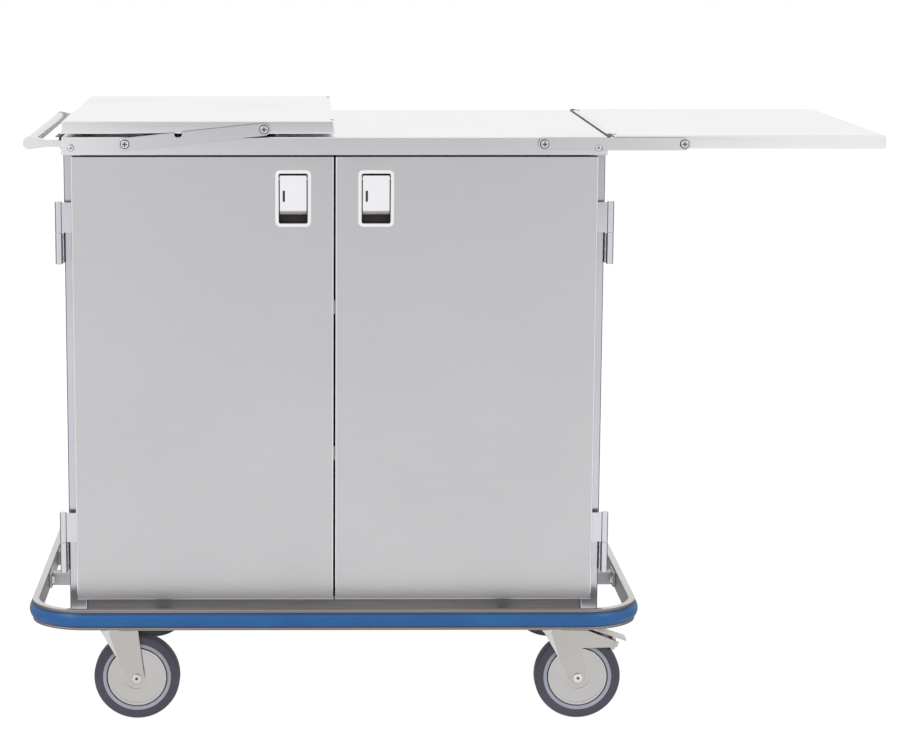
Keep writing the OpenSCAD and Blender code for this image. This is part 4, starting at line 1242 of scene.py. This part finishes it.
@dataclass
class Caster:
    """A swivel caster: its pressed fork, its wheel and the axle bolt."""

    end: str
    side: Side
    braked: bool = False
    trail: float = 42.0
    wheel: float = 76.2
    rim: float = 60.8
    cover: float = 53.4
    seam: float = 0.9
    tyre_wide: float = 32.0
    cheek: float = 21.0
    lead_facet: tuple[Span, Span, float] = ((-8.0, 163.0), (11.0, 106.0), -21.0)
    trail_facet: tuple[Span, Span, float] = ((29.0, 163.0), (53.0, 100.0), 45.0)
    facet_deep: float = 2.0
    axle_radius: float = 5.0
    head_radius: float = 8.0
    head_high: float = 4.0
    nut_high: float = 6.0
    socket: float = 3.0
    socket_y: float = 23.4

    @property
    def word(self) -> str:
        """The caster's name as the CAD nodes spell it."""
        return f"{self.end}_{self.side.word}"

    @property
    def hub(self) -> Vector:
        """The middle of the wheel."""
        low, high = extent(f"{self.word}_tyre")
        return (low + high) / 2

    def build(self) -> None:
        """Makes the fork, the axle bolt, the wheel and the tyre, and the brake where there is one."""
        self.fork()
        self.axle()
        self.wheel_disc()
        self.tyre()
        if self.braked:
            pedal = Piece.from_node(f"{self.word}_brake_pedal", f"{self.word}_pedal").round_edges(0.6)
            pedal.dress(CASTER_PLATE).fit(f"{self.word}_brake", f"{self.word}_pedal")

    def fork(self) -> None:
        """The fork, with the facets that the press leaves on its cheeks and with eased edges."""
        word, hub = self.word, self.hub
        fork = Piece.from_node(f"{word}_fork_pressing", f"{word}_fork")
        stem = hub.x - self.trail
        facets = [self.lead_facet] if self.braked else [self.lead_facet, self.trail_facet]
        for (top_x, top_z), (low_x, low_z), corner in facets:
            across = Vector((top_z - low_z, 0, low_x - top_x)).normalized()
            for way in (-1, 1):
                fork.cut(lambda m, n, s=way: n.y * s > 0.9 and (m.y - hub.y) * s > self.cheek,
                         (stem + top_x, 0, top_z), across)
                fork.nudge(lambda c, s=way: (c.y - hub.y) * s > self.cheek and c.z > 161
                           and abs(c.x - stem - corner) < 3, (0, -self.facet_deep * way, 0))
        fork.round_edges(0.8, 3, 40)
        # Painted shade on the edges and a painted highlight on the leading facets.
        fork.dress(CASTER_PLATE).dress(PLATE_EDGE_SHADE, lambda m, n: abs(n.y) < 0.8 and m.z < 158)
        fork.dress(
            PLATE_FACET_HIGHLIGHT, lambda m, n: abs(n.y) > 0.9 and m.x < stem - 5 and abs(m.y - hub.y) > 20)
        fork.fit(f"{word}_caster", f"{word}_fork", smooth=6)

    def axle(self) -> None:
        """The axle bolt with its socket head and its nut."""
        word, hub = self.word, self.hub
        x, y, z = hub
        shank = self.cheek + 1
        bolt = Piece.rod(f"{word}_axle_bolt", (x, y + shank, z), (x, y - shank, z), self.axle_radius, 32)
        front, back = y - shank - 0.2, y + shank + 0.2
        head = Piece.rod("head", (x, front, z), (x, front - self.head_high, z), self.head_radius, 48)
        head.bevel(lambda m, r, fold: fold > 1 and m.y < y - 25, 1.2, 3)
        head.inset(facing(FRONT, 0.99), 1.2).push(None, -0.6).inset(None, 0.4).push(None, 0.4)
        floor_y = y - self.socket_y
        head.subtract(Piece.rod("socket", (x, floor_y, z), (x, y - 30, z), self.socket, 6))
        nut = Piece.rod("nut", (x, back, z), (x, back + self.nut_high, z), self.head_radius, 6)
        bolt.join(head, nut.bevel(sharp, 0.7, 2)).dress(TURNED_STEEL)
        # Painted shade on the socket's sides and floor.
        walls = lambda m, n: (m.y < floor_y + 0.2 and n.y > -0.9
                              and Vector((m.x - x, m.z - z)).length < self.socket + 0.2)
        bolt.dress(CHASSIS_STEEL_SHADED, lambda m, n: walls(m, n) or abs(m.y - floor_y) < 0.1)
        bolt.fit(f"{word}_caster", f"{word}_axle")

    def wheel_disc(self) -> None:
        """The pale rim, the bright cover discs sunk in it and the hub."""
        word, hub = self.word, self.hub
        x, y, z = hub
        half = self.tyre_wide / 2 - 1
        rim = Piece.rod(f"{word}_wheel_body", (x, y + half, z), (x, y - half, z), self.rim, 72)
        rim.inset(endwise, self.rim - self.cover - self.seam).push(None, -3.0)
        rim.bevel(folded, 0.7, 2).dress(RIM_NYLON)
        # Painted shade in the gap round the disc.
        rim.dress(RIM_GAP_SHADE, lambda m, n: abs(m.y - y) < half - 1
                  and (m - hub).length < self.cover + 2)
        disc = Piece.rod("disc", (x, y + half - 0.6, z), (x, y - half + 0.6, z),
                         self.cover - self.seam, 72).bevel(folded, 1.2, 3)
        disc.inset(endwise, 4.0).push(None, -1.0).inset(None, 1.0).push(None, 0.4)
        disc.inset(None, 24.0).push(None, -1.2).inset(None, 4.0).push(None, 1.2)
        disc.dress(COVER_DISC)
        boss = Piece.rod("boss", (x, y + 18.5, z), (x, y - 18.5, z), 14.0, 48).bevel(sharp, 1.0, 2)
        rim.join(disc, boss.dress(COVER_DISC))
        rim.fit(f"{word}_roller", f"{word}_wheel")

    def tyre(self) -> None:
        """The tyre: a thick ring with round shoulders and a shallow groove at the rim."""
        word, hub = self.word, self.hub
        x, y, z = hub
        half = self.tyre_wide / 2
        tyre = Piece.rod(f"{word}_tyre_ring", (x, y + half, z), (x, y - half, z), self.wheel, 96)
        tyre.inset(endwise, self.wheel - self.rim).delete(None)
        tyre.bridge(lambda m, r, fold: fold < 0)
        tyre.bevel(lambda m, r, fold: fold > 1 and (m - hub).length > self.wheel - 2, 6.0, 6)
        tyre.bevel(lambda m, r, fold: fold > 1 and (m - hub).length < self.rim + 6, 0.8, 2)
        tyre.tidy().dress(TYRE_RUBBER).fit(f"{word}_roller", f"{word}_tyre", smooth=40)


@dataclass
class CasterPlates:
    """The casters' top plates with their races and kingpins, and the bolts through them."""

    centre: Span = (392.0, 272.0)
    holes: Span = (29.0, 36.0)
    bolt_radius: float = 6.5
    bolt_z: Span = (182.0, 186.0)

    def build(self) -> None:
        """Makes the plates and a bolt head near each of their corners."""
        plates = Piece.from_node("caster_top_plates", "caster_plates").round_edges(0.6)
        heads: list[Piece] = []
        for end, side, along, across in product((-1, 1), repeat=4):
            x = end * self.centre[0] + along * self.holes[0]
            y = side * self.centre[1] + across * self.holes[1]
            low_z, high_z = self.bolt_z
            head = Piece.rod("bolt_head", (x, y, low_z), (x, y, high_z), self.bolt_radius, 6)
            heads.append(head.bevel(sharp, 0.5, 1))
        plates.join(*heads).dress(CASTER_PLATE).fit("cart", "caster_plates")


# Studio


@dataclass
class Studio:
    """A pale floor, soft lamps and the camera at the photograph's place."""

    lens: float = 105.35
    shift: float = 0.1543
    place: Point = (-62.2, -4822.4, 1401.45)
    tilt: float = 0.1684
    yaw: float = 0.005
    ceiling: float = 0.22
    ceiling_fade: Span = (0.58, 0.85)
    flags: float = 0.62
    flags_fade: Span = (0.3, 0.6)
    ahead_fade: Span = (-0.25, 0.1)
    floor_flags: float = 0.42
    floor_fade: Span = (-0.45, -0.05)
    floor_size: float = 60.0
    card_x: Span = (-1.02, 1.65)
    card_z: Span = (0.2, 3.0)
    card_tone: str = "#A4A4A8"
    glow: float = 1.15
    glow_share: float = 0.84

    def build(self) -> None:
        """Sets it all up."""
        self.world()
        self.floor()
        self.card()
        self.lamps()
        self.camera()
        bpy.context.scene.view_settings.view_transform = "Standard"

    def world(self) -> None:
        """A surround that is white to the camera and in mirrors.

        As a light on dull surfaces it is weaker overhead, and beside and behind the cart.
        """
        world = bpy.data.worlds.new("studio_surround")
        world.use_nodes = True
        tree = world.node_tree
        tree.nodes.clear()
        path = add_node(tree, "ShaderNodeLightPath")
        place = add_node(tree, "ShaderNodeTexCoord")
        axes = add_node(tree, "ShaderNodeSeparateXYZ", {0: place.outputs["Generated"]})
        ceiling = add_node(tree, "ShaderNodeMapRange", {
            "Value": axes.outputs["Z"], "From Min": self.ceiling_fade[0],
            "From Max": self.ceiling_fade[1], "To Min": 1.0, "To Max": self.ceiling},
            interpolation_type="SMOOTHSTEP")
        across = add_node(tree, "ShaderNodeMath", {0: axes.outputs["X"]}, operation="ABSOLUTE")
        flag = add_node(tree, "ShaderNodeMapRange", {
            "Value": across.outputs[0], "From Min": self.flags_fade[0],
            "From Max": self.flags_fade[1]}, interpolation_type="SMOOTHSTEP")
        ahead = add_node(tree, "ShaderNodeMapRange", {
            "Value": axes.outputs["Y"], "From Min": self.ahead_fade[0],
            "From Max": self.ahead_fade[1]})
        both = add_node(tree, "ShaderNodeMath", {0: flag.outputs[0], 1: ahead.outputs[0]},
                        operation="MULTIPLY")
        flags = add_node(tree, "ShaderNodeMapRange", {
            "Value": both.outputs[0], "To Min": 1.0, "To Max": self.flags})
        room = add_node(tree, "ShaderNodeMath", {0: ceiling.outputs[0], 1: flags.outputs[0]},
                        operation="MULTIPLY")
        mirrored = add_node(tree, "ShaderNodeMath", {
            0: path.outputs["Is Glossy Ray"], 1: path.outputs["Is Transmission Ray"]},
            operation="MAXIMUM")
        seen = add_node(tree, "ShaderNodeMath", {
            0: path.outputs["Is Camera Ray"], 1: mirrored.outputs[0]}, operation="MAXIMUM")
        level = add_node(tree, "ShaderNodeMath", {0: room.outputs[0], 1: seen.outputs[0]},
                         operation="MAXIMUM")
        light = add_node(tree, "ShaderNodeBackground", {
            "Color": (1, 1, 1, 1), "Strength": level.outputs[0]})
        add_node(tree, "ShaderNodeOutputWorld", {"Surface": light.outputs[0]})
        bpy.context.scene.world = world

    def floor(self) -> None:
        """A wide white floor that glows to the camera and the steel, yet keeps a soft shadow.

        In the steel it looks darker beside and behind the cart.
        """
        floor = self.sheet("studio_floor", self.floor_size, (0, 0, 0), (0, 0, 0))
        material = empty_material("paper_white_matt")
        tree = material.node_tree
        path = add_node(tree, "ShaderNodeLightPath")
        place = add_node(tree, "ShaderNodeTexCoord")
        axes = add_node(tree, "ShaderNodeSeparateXYZ", {0: place.outputs["Object"]})
        across = add_node(tree, "ShaderNodeMath", {0: axes.outputs["X"]}, operation="ABSOLUTE")
        course = add_node(tree, "ShaderNodeMath", {0: axes.outputs["Y"], 1: across.outputs[0]},
                          operation="DIVIDE")
        beside = add_node(tree, "ShaderNodeMapRange", {
            "Value": course.outputs[0], "From Min": self.floor_fade[0],
            "From Max": self.floor_fade[1], "To Min": 1.0, "To Max": self.floor_flags},
            interpolation_type="SMOOTHSTEP")
        tone = add_node(tree, "ShaderNodeMath", {
            0: beside.outputs[0], 1: path.outputs["Is Camera Ray"]}, operation="MAXIMUM")
        level = add_node(tree, "ShaderNodeMath", {0: tone.outputs[0], 1: self.glow},
                         operation="MULTIPLY")
        glow = add_node(tree, "ShaderNodeEmission", {
            "Color": (1, 1, 1, 1), "Strength": level.outputs[0]})
        paper = add_node(tree, "ShaderNodeBsdfDiffuse", {"Color": linear("#F4F4F4")})
        mirrored = add_node(tree, "ShaderNodeMath", {
            0: path.outputs["Is Glossy Ray"], 1: path.outputs["Is Transmission Ray"]},
            operation="MAXIMUM")
        seen = add_node(tree, "ShaderNodeMath", {
            0: path.outputs["Is Camera Ray"], 1: mirrored.outputs[0]}, operation="MAXIMUM")
        share = add_node(tree, "ShaderNodeMath", {0: seen.outputs[0], 1: self.glow_share},
                         operation="MULTIPLY")
        both = add_node(tree, "ShaderNodeMixShader", {
            0: share.outputs[0], 1: paper.outputs[0], 2: glow.outputs[0]})
        add_node(tree, "ShaderNodeOutputMaterial", {"Surface": both.outputs[0]})
        floor.data.materials.append(material)

    def card(self) -> None:
        """A grey card behind the camera, seen only mirrored, in the middle of the deck's skirt."""
        wide = self.card_x[1] - self.card_x[0]
        low, high = self.card_z
        card = self.sheet("studio_card", 1,
                          ((self.card_x[0] + wide / 2) / MM, -8000, (low + high) / 2 / MM),
                          (math.pi / 2, 0, 0), (wide, high - low, 1.0))
        material = empty_material("card_grey_matt")
        tree = material.node_tree
        tone = add_node(tree, "ShaderNodeEmission", {
            "Color": linear(self.card_tone), "Strength": 1.0})
        add_node(tree, "ShaderNodeOutputMaterial", {"Surface": tone.outputs[0]})
        card.data.materials.append(material)
        card.visible_camera = card.visible_diffuse = card.visible_shadow = False

    def sheet(self, name: str, size: float, place: Point, turn: Point,
              scale: Point = (1.0, 1.0, 1.0)) -> bpy.types.Object:
        """Lays a flat sheet in the studio.

        Args:
            name: its name.
            size: its side, in metres.
            place: its middle, in millimetres.
            turn: its rotation.
            scale: how it is stretched.

        Returns:
            The sheet.
        """
        select_only()
        bpy.ops.mesh.primitive_plane_add(size=size, location=Vector(place) * MM, rotation=turn)
        sheet = bpy.context.active_object
        sheet.name, sheet.scale = name, scale
        return sheet

    def lamp(self, name: str, place: Point, aim: Point, size: float, watts: float) -> None:
        """Hangs one soft box.

        Args:
            name: its name.
            place: where it hangs, in millimetres.
            aim: what it looks at.
            size: its side, in metres.
            watts: its power.
        """
        data = bpy.data.lights.new(name, "AREA")
        data.shape, data.size, data.energy = "SQUARE", size, watts
        lamp = bpy.data.objects.new(name, data)
        lamp.location = Vector(place) * MM
        lamp.rotation_euler = (Vector(aim) - Vector(place)).to_track_quat("-Z", "Y").to_euler()
        bpy.context.scene.collection.objects.link(lamp)

    def lamps(self) -> None:
        """A soft box high on each side of the camera, the left one the stronger."""
        aim = (0, 0, 600)
        self.lamp("left_front", (-2600, -3000, 3000), aim, 1.6, 45)
        self.lamp("right_front", (3000, -2400, 2600), aim, 1.6, 25)

    def camera(self) -> None:
        """The camera, where the photograph was taken from."""
        data = bpy.data.cameras.new("photograph_view")
        data.sensor_width, data.lens, data.shift_x = 36.0, self.lens, self.shift
        data.clip_start, data.clip_end = 0.1, 100.0
        camera = bpy.data.objects.new("photograph_view", data)
        camera.location = Vector(self.place) * MM
        camera.rotation_euler = (math.pi / 2 - self.tilt, 0, -self.yaw)
        bpy.context.scene.collection.objects.link(camera)
        bpy.context.scene.camera = camera


def main() -> None:
    """Builds the cart's looks and the studio."""
    logging.basicConfig(level=logging.INFO, format="%(name)s: %(message)s")
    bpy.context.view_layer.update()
    TopDeck().build()
    for side in Side:
        TopLeaf(side).build()
        Door(side).build()
    Cabinet().build()
    PostHinges().build()
    PushHandle().build()
    Bumper().build()
    CasterPlates().build()
    Caster("front", Side.LEFT).build()
    Caster("front", Side.RIGHT, braked=True).build()
    Caster("rear", Side.LEFT, braked=True).build()
    Caster("rear", Side.RIGHT).build()
    Studio().build()
    bpy.ops.object.select_all(action="DESELECT")


if __name__ == "__main__":
    main()
